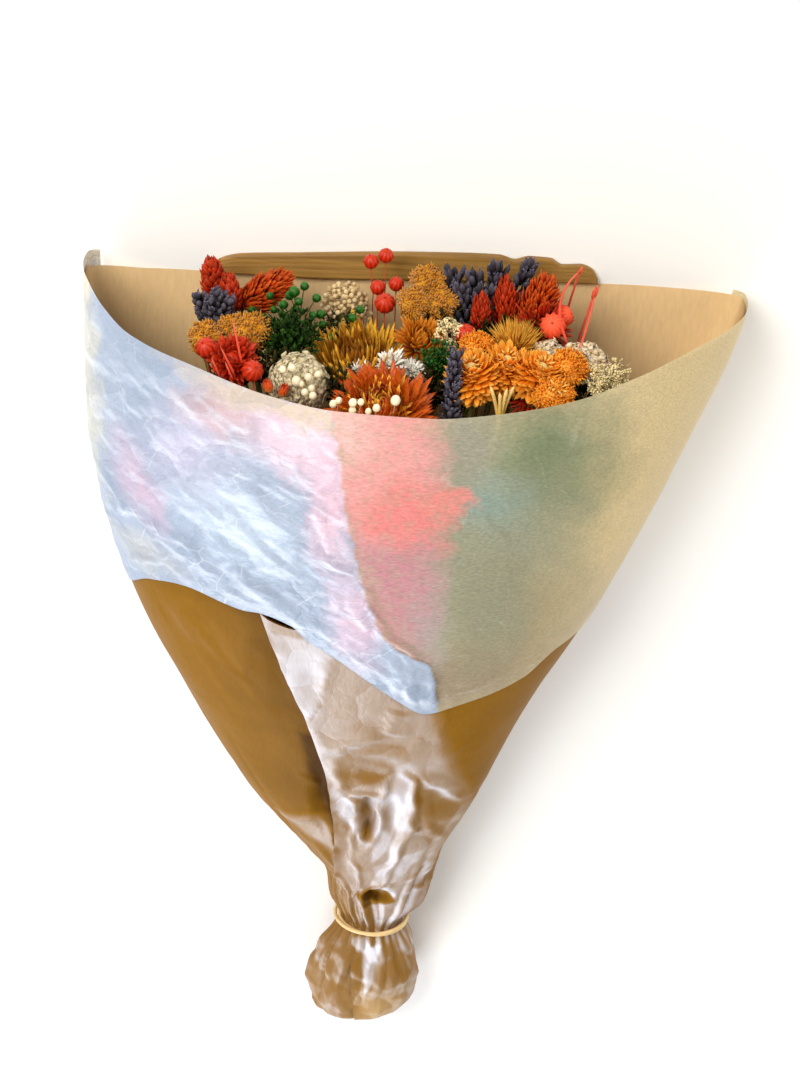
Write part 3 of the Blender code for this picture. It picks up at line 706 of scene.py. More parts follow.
def crumple_map(size, seed):
    """Map of facets about size mm wide: the largest of h - |turned offset| over many seeds."""
    local = np.random.default_rng(seed)
    height = np.full((MAP_LENGTH, MAP_WIDTH), -9.0)
    step = size * 0.9
    rows, columns = np.mgrid[-step:MAP_LENGTH + step:step, -step:MAP_WIDTH + step:step]
    centres = np.stack([rows, columns], -1).reshape(-1, 2)
    centres = centres + local.normal(size=centres.shape) * size * 0.3
    reach = int(size * 2.2)
    for (row, column), turn, top in zip(centres, local.random(len(centres)) * np.pi,
                                        local.random(len(centres)) * 0.7):
        r0, r1 = max(int(row) - reach, 0), min(int(row) + reach, MAP_LENGTH)
        c0, c1 = max(int(column) - reach, 0), min(int(column) + reach, MAP_WIDTH)
        if r1 <= r0 or c1 <= c0:
            continue
        y, x = np.mgrid[r0:r1, c0:c1]
        a = (x - column) * np.cos(turn) + (y - row) * np.sin(turn)
        b = (y - row) * np.cos(turn) - (x - column) * np.sin(turn)
        pyramid = top - np.maximum(np.abs(a), np.abs(b) * 0.8) / size
        height[r0:r1, c0:c1] = np.maximum(height[r0:r1, c0:c1], pyramid)
    return height - height.mean()


def read_map(height, x, y):
    """Heights between a map's cells, weighted by nearness; x and y in mm from its middle."""
    x = np.clip(x + MAP_WIDTH / 2, 0, MAP_WIDTH - 1.001)
    y = np.clip(y + MAP_LENGTH / 2, 0, MAP_LENGTH - 1.001)
    column = x.astype(int)
    row = y.astype(int)
    u = x - column
    v = y - row
    return ((height[row, column] * (1 - u) + height[row, column + 1] * u) * (1 - v)
            + (height[row + 1, column] * (1 - u) + height[row + 1, column + 1] * u) * v)


def wander(x, y, seed, reach, size):
    """A slow, smooth displacement of up to about reach: a sum of three turned sine waves."""
    local = np.random.default_rng(seed)
    total = 0
    for _ in range(3):
        heading, phase, stretch = local.random(3) * (2 * np.pi, 2 * np.pi, 0.6)
        wave = (x * np.cos(heading) + y * np.sin(heading)) / (size * (0.7 + stretch))
        total = total + np.sin(wave * 2 * np.pi + phase)
    return total * reach / 1.7


coarse, medium, fine = crumple_map(46, 3), crumple_map(22, 4), crumple_map(10, 5)
print("crumple maps:", coarse.shape, "spread", np.round([coarse.std(), medium.std()], 2))

# %% [markdown]
# ## Folds, hollows and flat faces
#
# The large folds are listed one by one, because the eye follows each of them. A fold is a roof along
# a line, a hollow is a dish, and a flat face is an area painted in one tone, a painted highlight where it is
# paler and painted shade where it is darker.

# %% Folds listed one by one
LAMP_WAY = (-0.50, -0.80, 0.33)


def fold_height(x, station, folds):
    """Height of the tallest fold at each point, in millimetres.

    A fold runs along a row of points.  Its height falls evenly with the distance from it, to
    nothing at the width given for its left side and for its right side, and towards its ends.
    """
    total = np.zeros(np.broadcast(x, station).shape)
    for row, left, right, top in folds:
        row = np.array(row, dtype=float).reshape(-1, 2)
        lengths = np.linalg.norm(np.diff(row, axis=0), axis=1)
        done = np.concatenate([[0], np.cumsum(lengths)]) / lengths.sum()
        for k, length in enumerate(lengths):
            way = (row[k + 1] - row[k]) / length
            across = x - row[k, 0]
            ahead = station - row[k, 1]
            t = np.clip(across * way[0] + ahead * way[1], 0, length)
            ox = across - t * way[0]
            oy = ahead - t * way[1]
            away = np.maximum(np.hypot(ox, oy), 1e-9)
            side = (way[0] * oy - way[1] * ox) / away
            width = (left + right) / 2 + (left - right) / 2 * side
            share = done[k] + t / lengths.sum()
            fade = np.clip(5 * np.minimum(share, 1 - share), 0.2, 1)
            total = np.maximum(total, top * fade * np.clip(1 - away / width, 0, 1))
    return total


def hollow_depth(x, station, hollows):
    """Depth of round hollows: depth * ease of the share from the rim; soft sets the edge."""
    total = 0
    for place_x, place_y, wide, long, heading, depth, soft in hollows:
        c, s = np.cos(np.radians(heading)), np.sin(np.radians(heading))
        a = ((x - place_x) * c + (station - place_y) * s) / wide
        b = ((station - place_y) * c - (x - place_x) * s) / long
        total = total + depth * (1 - ease(np.hypot(a, b), 1 - soft, 1))
    return total


def face_tone(x, station, faces, soft):
    """Sum of the tones of flat faces: each counts inside its corners, with an edge soft mm wide.

    A point's distance inside a face is its least distance inside any of the face's sides.
    """
    total = 0
    for corners, tone in faces:
        corners = np.array(corners, dtype=float).reshape(-1, 2)
        sides = np.roll(corners, -1, axis=0) - corners
        around = np.sign((corners[:, 0] * np.roll(corners[:, 1], -1)
                          - corners[:, 1] * np.roll(corners[:, 0], -1)).sum())
        inside = np.full(np.broadcast(x, station).shape, np.inf)
        for (x0, y0), (dx, dy) in zip(corners, sides):
            depth = (dx * (station - y0) - dy * (x - x0)) / np.hypot(dx, dy) * around
            inside = np.minimum(inside, depth)
        total = total + tone * ease(inside, -soft, soft)
    return total


def facing(grid, turn, station):
    """How much more a crumpled sheet faces the lamp at the tail than its plain shape does.

    The normal is the cross product of the grid's two directions; the share is the difference
    of the two normals' parts along the way to the lamp, smoothed over the neighbours.
    """
    plain_x, plain_z = wrap_point(turn, station)
    plain = to_metres(plain_x, station, plain_z)
    normals = [unit(np.cross(np.gradient(surface, axis=1), np.gradient(surface, axis=0)))
               for surface in (grid, plain)]
    middle_row = grid.shape[0] // 2
    outwards = np.sign(normals[1][middle_row, :, 2] @ plain[middle_row, :, 2])
    lit = (normals[0] - normals[1]) @ unit(np.array(LAMP_WAY)) * outwards
    for axis in (0, 1):
        lit = (np.roll(lit, 1, axis) + 2 * lit + np.roll(lit, -1, axis)) / 4
    print("facing the lamp:", np.round(np.percentile(lit, (2, 20, 50, 80, 98)), 2))
    return lit


# %% [markdown]
# ## The kraft sheet
#
# Two parameters lay the sheet: u round it, from the flap hidden underneath to the flap that
# shows on top, and its station, from the tail to the rim. The rim is cut low in front. At the
# neck the sheet is pressed into pleats, which are waves round the section: many small ones at
# the band that merge into fewer, broader ones up the cone.

# %% Tables of the kraft sheet
FLAP_EDGE = np.array([  # station, x of the visible edge of the upper flap
    (0, -4), (30, -8), (63, -9), (85, -14.5), (111, -17.2), (138, -18.6), (171, -22.5), (208, -32.4),
    (238, -43), (262, -53), (300, -62), (394, -92)], dtype=float)
FRONT_RIM = np.array([  # x at the mouth, station of the rim in front
    (-139, 382), (-130, 376), (-120, 320), (-100, 290), (-68, 276), (-62, 270), (-57, 260.5),
    (-42, 256.5), (-38, 262), (-25, 256), (0, 238), (30, 232), (60, 240), (64, 262), (67, 330),
    (75, 358), (92, 371), (115, 380), (139, 383)], dtype=float)
BACK_RIM = np.array([  # the same at the back
    (-139, 378), (-110, 376), (-50, 376), (0, 378), (80, 382), (139, 383)], dtype=float)
KRAFT_FOLDS = [  # points as x, station, x, station ...; width to the left and right; height
    ((-52, 262, -42, 238, -32, 208), 5, 5, 1.6), ((-24, 248, -27, 226, -32, 208), 4, 4, 1.2),
    ((-32, 208, -20, 187), 3, 3, 1), ((6, 220, 1, 203), 9, 3, 2),
    ((1, 203, -15, 197, -20, 187), 3, 10, 2.4), ((-20, 187, -16, 165), 3, 2.5, 2),
    ((-17, 186, 8, 181), 4, 6, 1.2), ((0, 160, 2, 173, 8, 182), 2.5, 3, 2.6),
    ((8, 182, 14, 173, 15, 162, 14, 143, 9, 123, 2, 101), 3, 3, 3),
    ((-17, 163, -10, 160, -6, 149, -6, 130), 1.8, 1.8, 2.6), ((0, 162, 1, 144, -4, 127), 1.5, 2, 2.2),
    ((-15, 165, -1, 166), 1.2, 4, 1.4), ((14, 178, 26, 169, 40, 150), 6, 2.5, 1.8),
    ((12, 144, 19, 139), 2, 3, 1.4), ((22, 148, 29, 128, 24, 112), 3, 4, 1.2),
    ((11, 120, 2, 101), 2.5, 2.5, 1.4), ((11, 98, 3, 101, -5, 92, -7, 81), 2, 2, 1.6),
    ((-22, 174, -19, 138, -17, 111), 1.5, 2.5, 2), ((-15, 160, -12, 140, -11, 122), 1.6, 1.6, 1.5),
    ((-11, 122, -6, 103, -11, 80), 1.6, 1.6, 1.4), ((-17, 111, -14, 93, -15, 76), 1.5, 1.5, 1.4),
    ((14, 102, 23, 109), 2, 2, 1), ((14, 92, 26, 92), 2, 2, 1),
    ((-84, 248, -68, 228, -52, 210), 3, 3, 0.9), ((-52, 248, -52, 213, -47, 196), 6, 4, 0.8),
    ((-46, 136, -26, 144, -19, 130), 6, 3, 1.6), ((-36, 171, -28, 165), 3, 3, 0.8),
    ((24, 224, 24, 196), 3, 3, 0.6), ((38, 196, 23, 186), 4, 4, 0.7), ((18, 204, 9, 188), 4, 4, 0.6)]
KRAFT_HOLLOWS = [  # x, station, half width, half length, heading, depth, softness of the edge
    (-4.5, 149, 4.6, 17, 4, 6.5, 0.45), (2.7, 91, 8, 5.5, 0, 4.5, 0.5), (0, 181, 19, 11, -12, 3.2, 0.8),
    (6.5, 152, 5.5, 19, 4, 2, 0.8), (-30, 231, 5, 18, 8, 1.2, 0.8), (-26, 156, 7, 26, 6, 3, 0.9),
    (31, 158, 12, 18, 30, 1.8, 0.9), (24, 97, 5, 9, -20, 1.5, 0.9), (-13, 145, 2, 12, 6, 1.6, 0.8)]
# each face's tone is painted light: above 0 a painted highlight, below 0 painted shade; the same holds for
# LOWER_FACES
KRAFT_FACES = [  # corners of a flat face as x, station, x, station ...; how much paler it is
    ((-48, 254, -29, 252, -23, 245, -29, 213, -34, 207, -41, 227), 0.15),
    ((-19, 188, -5, 199, 10, 197, 14, 181, 1, 175, -4, 169, -17, 167), -0.1),
    ((-22, 176, -15, 163, -6, 153, -5, 129, -12, 141, -19, 152), 0.16),
    ((1, 175, 10, 182, 14, 166, 5, 127, -2, 117, -1, 145), 0.14),
    ((15, 177, 39, 152, 29, 133, 24, 126, 16, 154), -0.16),
    ((-1, 114, 8, 122, 24, 126, 14, 109, 5, 98), 0.12),
    ((-8, 90, -1, 98, 7, 95, 10, 86, -4, 82), -0.34),
    ((-27, 35, -17, 54, -12, 54, -15, 31, -24, 20), 0.32), ((-4, 50, 5, 56, 3, 35, -1, 26), 0.3),
    ((-12, 57, -2, 60, 4, 47, 1, 46), 0.24)]
LOWER_FACES = [  # the same on the sheet's lower part, beside the upper flap
    ((-36, 197, -27, 197, -19, 163, -19, 134, -28, 157), -0.24),
    ((-48, 139, -26, 146, -19, 133, -19, 121, -34, 130), 0.26),
    ((-104, 256, -70, 262, -58, 256, -62, 226, -86, 236), 0.07),
    ((-94, 248, -92, 249, -63, 201, -65, 200), 0.08), ((-76, 252, -74, 253, -56, 214, -58, 213), 0.08)]

# %% Kraft sheet
KRAFT_COLUMNS, KRAFT_ROWS = 316, 268
RIM_TOP = 394.0
RIM_HALVINGS = 30
FLAT_RADIUS = 130
TAIL_RADIUS = 30


def kraft_rim(turn):
    """Station of the rim at a turn: nearly straight behind, cut away across the front."""
    x = wrap_point(turn, MOUTH)[0]
    front = read_table(FRONT_RIM, x)[..., 0]
    back = read_table(BACK_RIM, x)[..., 0]
    return np.where(np.sin(turn) > 1e-6, front, back)


def kraft_turn(u, station):
    """Turn of the sheet at u: from under the upper flap, all the way round, to its edge."""
    edge = front_turn(read_table(FLAP_EDGE, station)[..., 0], station)
    under = np.radians(34 - 12 * ease(station, 90, 250))
    return edge - under + u * (2 * np.pi + under)


def pleats(turn, station, number, seed, low, high, depth, soft, sway):
    """Folds round the section, number of them, that fade in at low and out at high."""
    local = np.random.default_rng(seed)
    steep = np.clip(local.normal(1, 0.4, 64), 0.25, 1.9)
    wave = turn * number / (2 * np.pi) + local.random() + sway * number / 12
    k = np.floor(wave).astype(int) % 64
    tent = 1 - np.abs(2 * (wave % 1) - 1)
    grow = ease(station, low - soft, low) * (1 - ease(station, high, high + soft * 2.2))
    return depth * steep[k] * (tent ** 0.8 - 0.5) * grow


def kraft_surface():
    """Grid of the sheet in metres, its flat coordinates in mm, its inner share and its tone of painted light
    and shade.
    """
    u = np.linspace(0, 1, KRAFT_COLUMNS)
    # the rim's station in each column, by halving the range in which it must be
    low = np.full(KRAFT_COLUMNS, 150.0)
    high = np.full(KRAFT_COLUMNS, RIM_TOP)
    for _ in range(RIM_HALVINGS):
        middle = (low + high) / 2
        over = middle > kraft_rim(kraft_turn(u, middle))
        high = np.where(over, middle, high)
        low = np.where(over, low, middle)
    # rows stand closest between the tail and the middle, where the folds are smallest
    share = np.interp(np.linspace(0, 1, KRAFT_ROWS), (0, 0.24, 0.74, 1.0), (0.003, 0.165, 0.53, 1.0))
    station = share[:, None] * RIM_TOP + np.zeros(KRAFT_COLUMNS)
    station = np.where(station < 200, station, 200 + (station - 200) / 194 * (low - 200))
    turn = kraft_turn(u, station)
    u = np.broadcast_to(u, turn.shape)
    x_plain = wrap_point(turn, station)[0]
    flat_x = (turn - np.pi / 2) * FLAT_RADIUS
    front = np.clip(np.sin(turn), 0, 1)
    # pleats
    sway = wander(flat_x, station * 1.6, 21, 0.22, 120)
    waist = 1 - 0.6 * np.exp(-((station - NECK) / 3.4) ** 2)
    plain = 1 - 0.75 * ease(station, 80, 96) * front
    in_tail = 0.35 + 0.65 * ease(station, 48, 64)
    out = pleats(turn, station, 23, 31, 40, 74, 2.3, 22, sway) * waist * in_tail
    out = out + pleats(turn, station, 13, 32, 60, 100, 3.4, 20, sway) * ease(station, 62, 76) * plain
    out = out + pleats(turn, station, 8, 33, 96, 150, 3.0, 24, sway) * (1 - 0.8 * front)
    out = out + pleats(turn, station, 7, 34, 24, 46, 1.6, 10, sway) * waist
    # folds and hollows of the front
    warp_x = wander(x_plain, station, 41, 0.9, 16)
    warp_y = wander(x_plain, station, 42, 0.9, 16)
    lift = fold_height(x_plain + warp_x, station + warp_y, KRAFT_FOLDS)
    sink = hollow_depth(x_plain + warp_x * 0.6, station + warp_y * 0.6, KRAFT_HOLLOWS)
    out = out + (lift - sink) * ease(front, 0.05, 0.3) * ease(station, 68, 78)
    # crumples: strong in the tail, on the upper flap and near the neck, faint elsewhere
    flap = ease(u, 0.72, 0.86) * front
    warp = wander(flat_x, station, 22, 9, 90)
    mild = 1 - 0.6 * ease(station, 150, 260)
    tail = 1 - ease(station, 46, 66)
    over_neck = ease(station, 66, 84) * (1 - ease(station, 110, 165))
    y = station - 190
    facets = read_map(coarse, flat_x + warp, y + warp)
    folds = read_map(medium, flat_x * 1.3 + warp, y - warp)
    small = read_map(fine, flat_x * 1.5, y * 1.2)
    tail_x = (turn - np.pi / 2) * TAIL_RADIUS
    out = out + facets * (1.6 + 0.6 * flap) * mild * ease(station, 80, 150)
    out = out + folds * (0.4 + 0.35 * flap + 0.8 * over_neck) * mild * ease(station, 70, 90)
    out = out + read_map(medium, tail_x * 0.8, y + 90) * 6.0 * tail * ease(station, 3, 14) * waist
    out = out + read_map(fine, tail_x, y + 60) * (1.4 * tail + 0.8 * over_neck) * waist
    out = out + small * (0.10 + 0.10 * flap) * ease(station, 66, 80)
    # the sheet's two layers in front, and the lip of the upper one
    below = 1 - ease(u, 0.03, 0.13)
    lip = np.exp(-((1 - u) / 0.010) ** 2) * ease(station, 80, 120)
    out = out * (1 - 0.7 * below * tail) - (1.6 + 1.4 * tail) * below + 1.2 * lip
    out = out + 1.2 * ease(u, 0.93, 1.0) * ease(station, 70, 100)
    # nothing stands proud under the tissue, and the sides stay within the outline
    under_tissue = ease(station, 236, 262) * front
    out = np.where(under_tissue > 0, out * (1 - 0.75 * under_tissue), out)
    side = ease(station, 100, 250) * (1 - np.abs(np.sin(turn)))
    out = out * (1 - 0.6 * side)
    x, z = wrap_point(turn, station, out)
    # the tail's end closes to a small mouth
    closing = 1 - 0.93 * (1 - ease(station, 1.0, 9.0)) ** 2
    centre = read_table(SECTIONS, station)
    x = centre[..., 4] + (x - centre[..., 4]) * closing
    z = centre[..., 5] + (z - centre[..., 5]) * closing
    z = np.maximum(z, 0.25 + 0.25 * (np.sin(turn) < 0) * np.abs(small) * ease(station, 10, 60))
    grid = to_metres(x, station, z)
    # painted sheen: 1 on the upper flap and the tail; a painted shadow beside the flap and a painted
    # highlight along its edge
    edge = read_table(FLAP_EDGE, station)[..., 0]
    limit = 19 + (215 - station) * 0.3
    upper = (u > 0.6) * front * (1 - ease(x_plain, limit - 5, limit + 8))
    low_left = (u < 0.5) * front * (1 - ease(station, 118, 160)) * 0.65
    shadow = (u < 0.5) * front * np.exp(-np.maximum(edge - x_plain, 0) / 22) * ease(station, 128, 165)
    painted_sheen = upper * ease(station, 62, 70) + 0.24 * tail * ease(station, 8, 26)
    painted_sheen = np.maximum(painted_sheen, 0.35 * (1 - ease(station, 70, 130))) + 0.3 * low_left
    edge_highlight = (u > 0.6) * np.exp(-np.maximum(x_plain - edge, 0) / 7) * ease(station, 150, 190)
    tone = 0.36 + 0.34 * painted_sheen + 0.12 * edge_highlight * front - 0.24 * shadow
    hand_x = x_plain + warp_x * 0.5
    hand_y = station + warp_y * 0.5
    top_side = front * ease(u, 0.55, 0.65)
    # painted highlights and painted shade on the flat faces of the folds
    tone = tone + face_tone(hand_x, hand_y, KRAFT_FACES, 1.0) * top_side
    tone = tone + face_tone(hand_x, hand_y, LOWER_FACES, 2.5) * (u < 0.5) * front
    # painted light: facets that face the lamp are painted paler and the others darker, most of all under the
    # painted sheen
    lit = facing(grid, turn, station)
    calm = 1 - 0.6 * ease(station, 155, 200)
    tone = tone + np.maximum(lit, 0) * (0.12 + 0.65 * painted_sheen * calm + 0.3 * tail)
    tone = tone + np.minimum(lit, 0) * (0.12 + 0.28 * painted_sheen * calm)
    # the pale inside, the paper's inner face painted paler still to stand in for light it lacks there, and
    # the golden end of the tail
    inner = ease(-np.sin(turn), -0.25, 0.1) * ease(station, 300, 345)
    inner = np.maximum(inner, 0.45 * (1 - ease(station, 12, 40)) * ease(x_plain, -16, 8) * front)
    return grid, flat_x, station, inner, np.clip(tone, 0, 1)


def sheet_piece(name, surface, slot, nodes, flip=False):
    """A piece from a grid of points, with a quad between each four neighbours.

    Its UV map is its flat coordinates in metres, given at each corner of each face.  The area
    it prints is half the lengths of the quads' crossed diagonals.
    """
    grid, flat_x, flat_y, tint, along = surface
    rows, columns = grid.shape[:2]
    number = np.arange(rows * columns).reshape(rows, columns)
    quads = np.stack([number[:-1, :-1], number[:-1, 1:], number[1:, 1:], number[1:, :-1]], -1)
    quads = quads.reshape(-1, 4)
    part = {"points": grid.reshape(-1, 3), "quads": quads[:, ::-1] if flip else quads,
            "triangles": np.zeros((0, 3), dtype=int), "along": along.reshape(-1),
            "tint": tint.reshape(-1), "use": 0}
    piece = make_piece(name, [part], slot, nodes, tuck=False)
    corner = np.empty(len(piece.data.loops), dtype=np.int32)
    piece.data.loops.foreach_get("vertex_index", corner)
    flat = np.stack([flat_x.reshape(-1), flat_y.reshape(-1)], -1) * MM
    layer = piece.data.uv_layers.new(name="sheet")
    layer.data.foreach_set("uv", flat[corner].astype(np.float32).reshape(-1))
    crossed = np.cross(grid[1:, 1:] - grid[:-1, :-1], grid[1:, :-1] - grid[:-1, 1:])
    area = np.linalg.norm(crossed, axis=-1).sum() / 2
    print(name, grid.shape, "area", round(float(area), 4), "m2, triangles", triangles[name])
    return piece


# %% [markdown]
# ## Finish of the kraft paper
#
# Kraft paper is golden brown with fine fibres. Light and shade are painted into its colour: a tone
# at its points runs from painted shade through the golden brown to a pale, satin painted sheen on
# the upper flap and the tail, whose small facets each get another painted tone. Crumpled paper is a
# tiling of roofs: the distance to the nearest edge of a cell rises evenly from the edge inwards, so
# as a height it gives flat faces with sharp folds between.

# %% Kraft finish
tree, shader, place = new_paint("kraft_paper")
# tone: the painted light and shade worked out with the sheet, stored at its points
tone = attribute(tree, "along")
uneven_place = scaled(tree, pushed(tree, place, 50.0, 0.010), (90.0, 60.0, 90.0), 12.0)
clouds = mapped(tree, noise(tree, place, 22.0, 5.0), 0.3, 0.7, -0.05, 0.05)
# painted sheen that differs a little from facet to facet, only where the tone is painted pale
facet_sheen = mapped(tree, cells(tree, uneven_place, "F1"), 0.25, 0.75, -0.03, 0.03)
sheen_share = mapped(tree, tone, 0.42, 0.60, 0.0, 1.0)
level = combined(tree, "Math", "ADD", combined(tree, "Math", "ADD", tone, clouds),
                 combined(tree, "Math", "MULTIPLY", sheen_share, facet_sheen))
# painted shade at the bottom of the ramp, the paper's golden brown in the middle, and a pale lilac painted
# sheen up to near-white painted highlights at the top
colour = ramp(tree, level, rgb_stops((0.0, 74, 46, 8), (0.36, 140, 98, 28), (0.52, 148, 112, 66),
                                     (0.70, 174, 154, 138), (0.86, 206, 200, 204), (1.0, 232, 234, 246)))
colour = blend(tree, "MIX", attribute(tree, "tint"), colour, srgb(236, 202, 150))
fibres = noise(tree, scaled(tree, place, (700.0, 160.0, 700.0)), 1.0)
streaks = ramp(tree, fibres, ((0.35, (.90, .90, .90)), (0.65, (1.0, 1.0, 1.0))))
roofs = relief(tree, cells(tree, uneven_place, EDGES, 2.0), 0.0016,
               mapped(tree, tone, 0.40, 0.60, 0.10, 1.0))
settle(tree, shader, Base_Color=blend(tree, "MULTIPLY", 0.8, colour, streaks), Roughness=0.40,
       Normal=relief(tree, fibres, 0.0002, 0.5, Normal=roofs),
       Specular_IOR_Level=mapped(tree, tone, 0.40, 0.72, 0.02, 0.40))
kraft = sheet_piece("kraft_sheet", kraft_surface(), "kraft_paper", ["kraft_wrap"])

# %% [markdown]
# ## The tissue
#
# A sheet of thin tissue lies over the front, outside the kraft paper, and covers the window
# that the low rim leaves. Its left part is doubled, crumpled and bluish white; the right part
# is a single layer, smooth and see-through. The edge between them is one curve down the sheet.

# %% Tables of the tissue
TISSUE_TOP = np.array([  # x at the mouth, station of the upper edge
    (-139, 385), (-131, 384), (-123, 379), (-109, 372), (-80, 367), (-50, 361), (-25, 358.5),
    (10, 358.5), (36, 361), (66, 366), (90, 374), (113, 382), (130, 385), (139, 385)], dtype=float)
TISSUE_LOW = np.array([  # x at station 245, station of the lower edge
    (-130, 236), (-111, 250), (-97, 261), (-79, 266), (-56, 262), (-51, 262.5), (-38, 259), (-33, 253),
    (-24, 247), (6, 224), (20, 217), (35, 221), (62, 230), (72, 241), (100, 247),
    (130, 252)], dtype=float)
LAYER_EDGE = np.array([  # station, x of the doubled part's edge
    (215, 24), (221, 21.5), (243, 17.5), (250, 7), (257, -2), (271, -8), (288, -13.4), (299, -16),
    (321, -21), (338, -23.5), (358, -27), (390, -30)], dtype=float)
TISSUE_FOLDS = [  # points as x, station, x, station ...; width to the left and right; height
    ((-129, 312, -108, 288), 3, 4, 1.2), ((-110, 268, -106, 272, -96, 272), 3, 3, 1.2),
    ((-96, 286, -97, 268), 3, 3, 0.9), ((-88, 317, -80, 310, -62, 298), 3, 9, 1.6),
    ((-104, 293, -86, 288, -67, 274), 3, 8, 1.7), ((-66, 284, -52, 276, -44, 270), 2, 9, 1.6),
    ((-70, 270, -52, 267), 2, 4, 0.9), ((-97, 274, -72, 267), 5, 3, 1),
    ((-64, 324, -50, 314, -38, 298), 3, 10, 1.5), ((-72, 312, -53, 296, -34, 280), 3, 10, 1.5),
    ((-43, 340, -34, 328, -20, 316), 2, 5, 1), ((-38, 330, -26, 316), 2, 3, 0.8),
    ((-54, 329, -31, 318, -18, 312), 2, 6, 1), ((-30, 318, -28, 302, -26, 293), 5, 2, 1.4),
    ((-26, 293, -13, 288), 4, 1.5, 1.4), ((-29, 294, -18, 296), 3, 2, 0.8),
    ((-93, 360, -96, 334), 8, 3, 1.1), ((-73, 363, -83, 352, -84, 344), 3, 6, 1),
    ((-59, 357, -64, 346, -70, 338), 3, 5, 1.1), ((-70, 338, -58, 341), 3, 3, 0.9),
    ((-58, 356, -58, 335), 3, 6, 1), ((-44, 358, -46, 344), 2, 5, 0.8),
    ((-58, 339, -66, 326), 3, 3, 0.9), ((-66, 326, -57, 325), 3, 3, 0.8),
    ((-85, 334, -90, 320), 4, 4, 0.8), ((-78, 328, -62, 323, -54, 316), 3, 4, 0.8),
    ((-44, 311, -38, 292), 4, 4, 0.9), ((-36, 303, -30, 294), 3, 3, 0.7),
    ((-37, 261, -18, 256), 3, 3, 1), ((-19, 287, -13, 270, -9, 250), 3, 3, 0.9),
    ((-13, 288, -8, 271, -3, 259, 16, 244), 4, 1.5, 1.1), ((-18, 250, 0, 236, 10, 244), 3, 3, 1),
    ((10, 246, 9, 222), 4, 2, 1.5), ((10, 246, 4, 230), 3, 3, 1), ((16, 244, 10, 236), 3, 3, 0.8),
    ((16, 242, 21, 224), 4, 3, 0.9), ((-23, 312, -17, 294), 3, 3, 0.7), ((15, 337, 23, 328), 2, 2, 0.4),
    ((66, 362, 67, 348), 1.2, 1.2, 0.6), ((14, 299, 19, 302), 1, 1, 0.35),
    ((17, 312, 26, 314), 1, 1, 0.35), ((30, 324, 43, 303), 2, 2, 0.4), ((18, 224, 55, 238), 2, 2, 0.5),
    ((27, 249, 34, 251), 1.5, 1.5, 0.5), ((56, 228, 64, 242), 2, 2, 0.9)]

# %% Tissue sheet
TISSUE_COLUMNS, TISSUE_ROWS = 350, 212
TISSUE_SPAN = (-18, 198)
TISSUE_RADIUS = 125
LOW_STATION = 245.0
FOLD_HEADING = np.radians(-38)


def tissue_surface():
    """Grid of the sheet in metres, its flat coordinates in mm, its doubled part and its tone of painted
    light and shade.
    """
    turn = np.radians(np.linspace(*TISSUE_SPAN, TISSUE_COLUMNS))
    top = read_table(TISSUE_TOP, wrap_point(turn, MOUTH)[0])[..., 0]
    low = read_table(TISSUE_LOW, wrap_point(turn, LOW_STATION)[0])[..., 0]
    v = np.linspace(0, 1, TISSUE_ROWS)[:, None]
    station = low + (top - low) * v
    turn = np.broadcast_to(turn, station.shape)
    x = wrap_point(turn, station)[0]
    y = station - 300
    edge = read_table(LAYER_EDGE, station)[..., 0] + wander(x, station, 55, 0.6, 9)
    double = 1 - ease(x, edge - 0.5, edge + 0.5)
    front = ease(np.sin(turn), 0.0, 0.4)
    warp_x = wander(x, station, 51, 1.1, 22) + wander(x, station, 53, 0.35, 6)
    warp_y = wander(x, station, 52, 1.1, 22) + wander(x, station, 54, 0.35, 6)
    lift = fold_height(x + warp_x, station + warp_y, TISSUE_FOLDS)
    # small facets drawn out along the folds, which run down to the right
    a = x * np.cos(FOLD_HEADING) + y * np.sin(FOLD_HEADING)
    b = y * np.cos(FOLD_HEADING) - x * np.sin(FOLD_HEADING)
    loose = double * (1 - 0.5 * ease(station, 345, 362))
    facets = read_map(coarse, x * 1.1 + 9, y * 1.1)
    long_folds = read_map(medium, a * 0.42 + warp_x, b * 1.25 + warp_y)
    small = read_map(fine, a * 0.5 + 2 * warp_x, b * 1.5)
    wrinkles = read_map(fine, x * 0.55 + 40, y * 0.4)
    out = 1.1 + 0.35 * double + lift * (0.6 + 0.15 * double)
    out = out + facets * (0.6 + 0.9 * loose) + long_folds * (0.10 + 0.35 * loose)
    out = out + small * (0.03 + 0.8 * loose) + wrinkles * 0.5 * (1 - double)
    out = out + read_map(fine, x * 1.3 + 3 * warp_x, y * 1.3) * 1.1 * loose
    # the lower edge gapes a little at one place, and lies flat elsewhere
    out = out + 2.2 * np.exp(-(((x + 40) / 9) ** 2 + ((station - low) / 7) ** 2))
    near_edge = np.minimum(station - low, top - station)
    out = 1.0 + (out - 1.0) * (0.25 + 0.75 * ease(near_edge, 0, 9))
    out = np.maximum(out * (0.3 + 0.7 * front), 0.7)
    x, z = wrap_point(turn, station, out)
    grid = to_metres(x, station, np.maximum(z, 0.5))
    # painted light and shade: the tone is higher where the crumples face the lamp and lower where they turn
    # away
    tone = np.clip(0.5 + facing(grid, turn, station), 0, 1)
    return grid, turn * TISSUE_RADIUS, station, double, tone


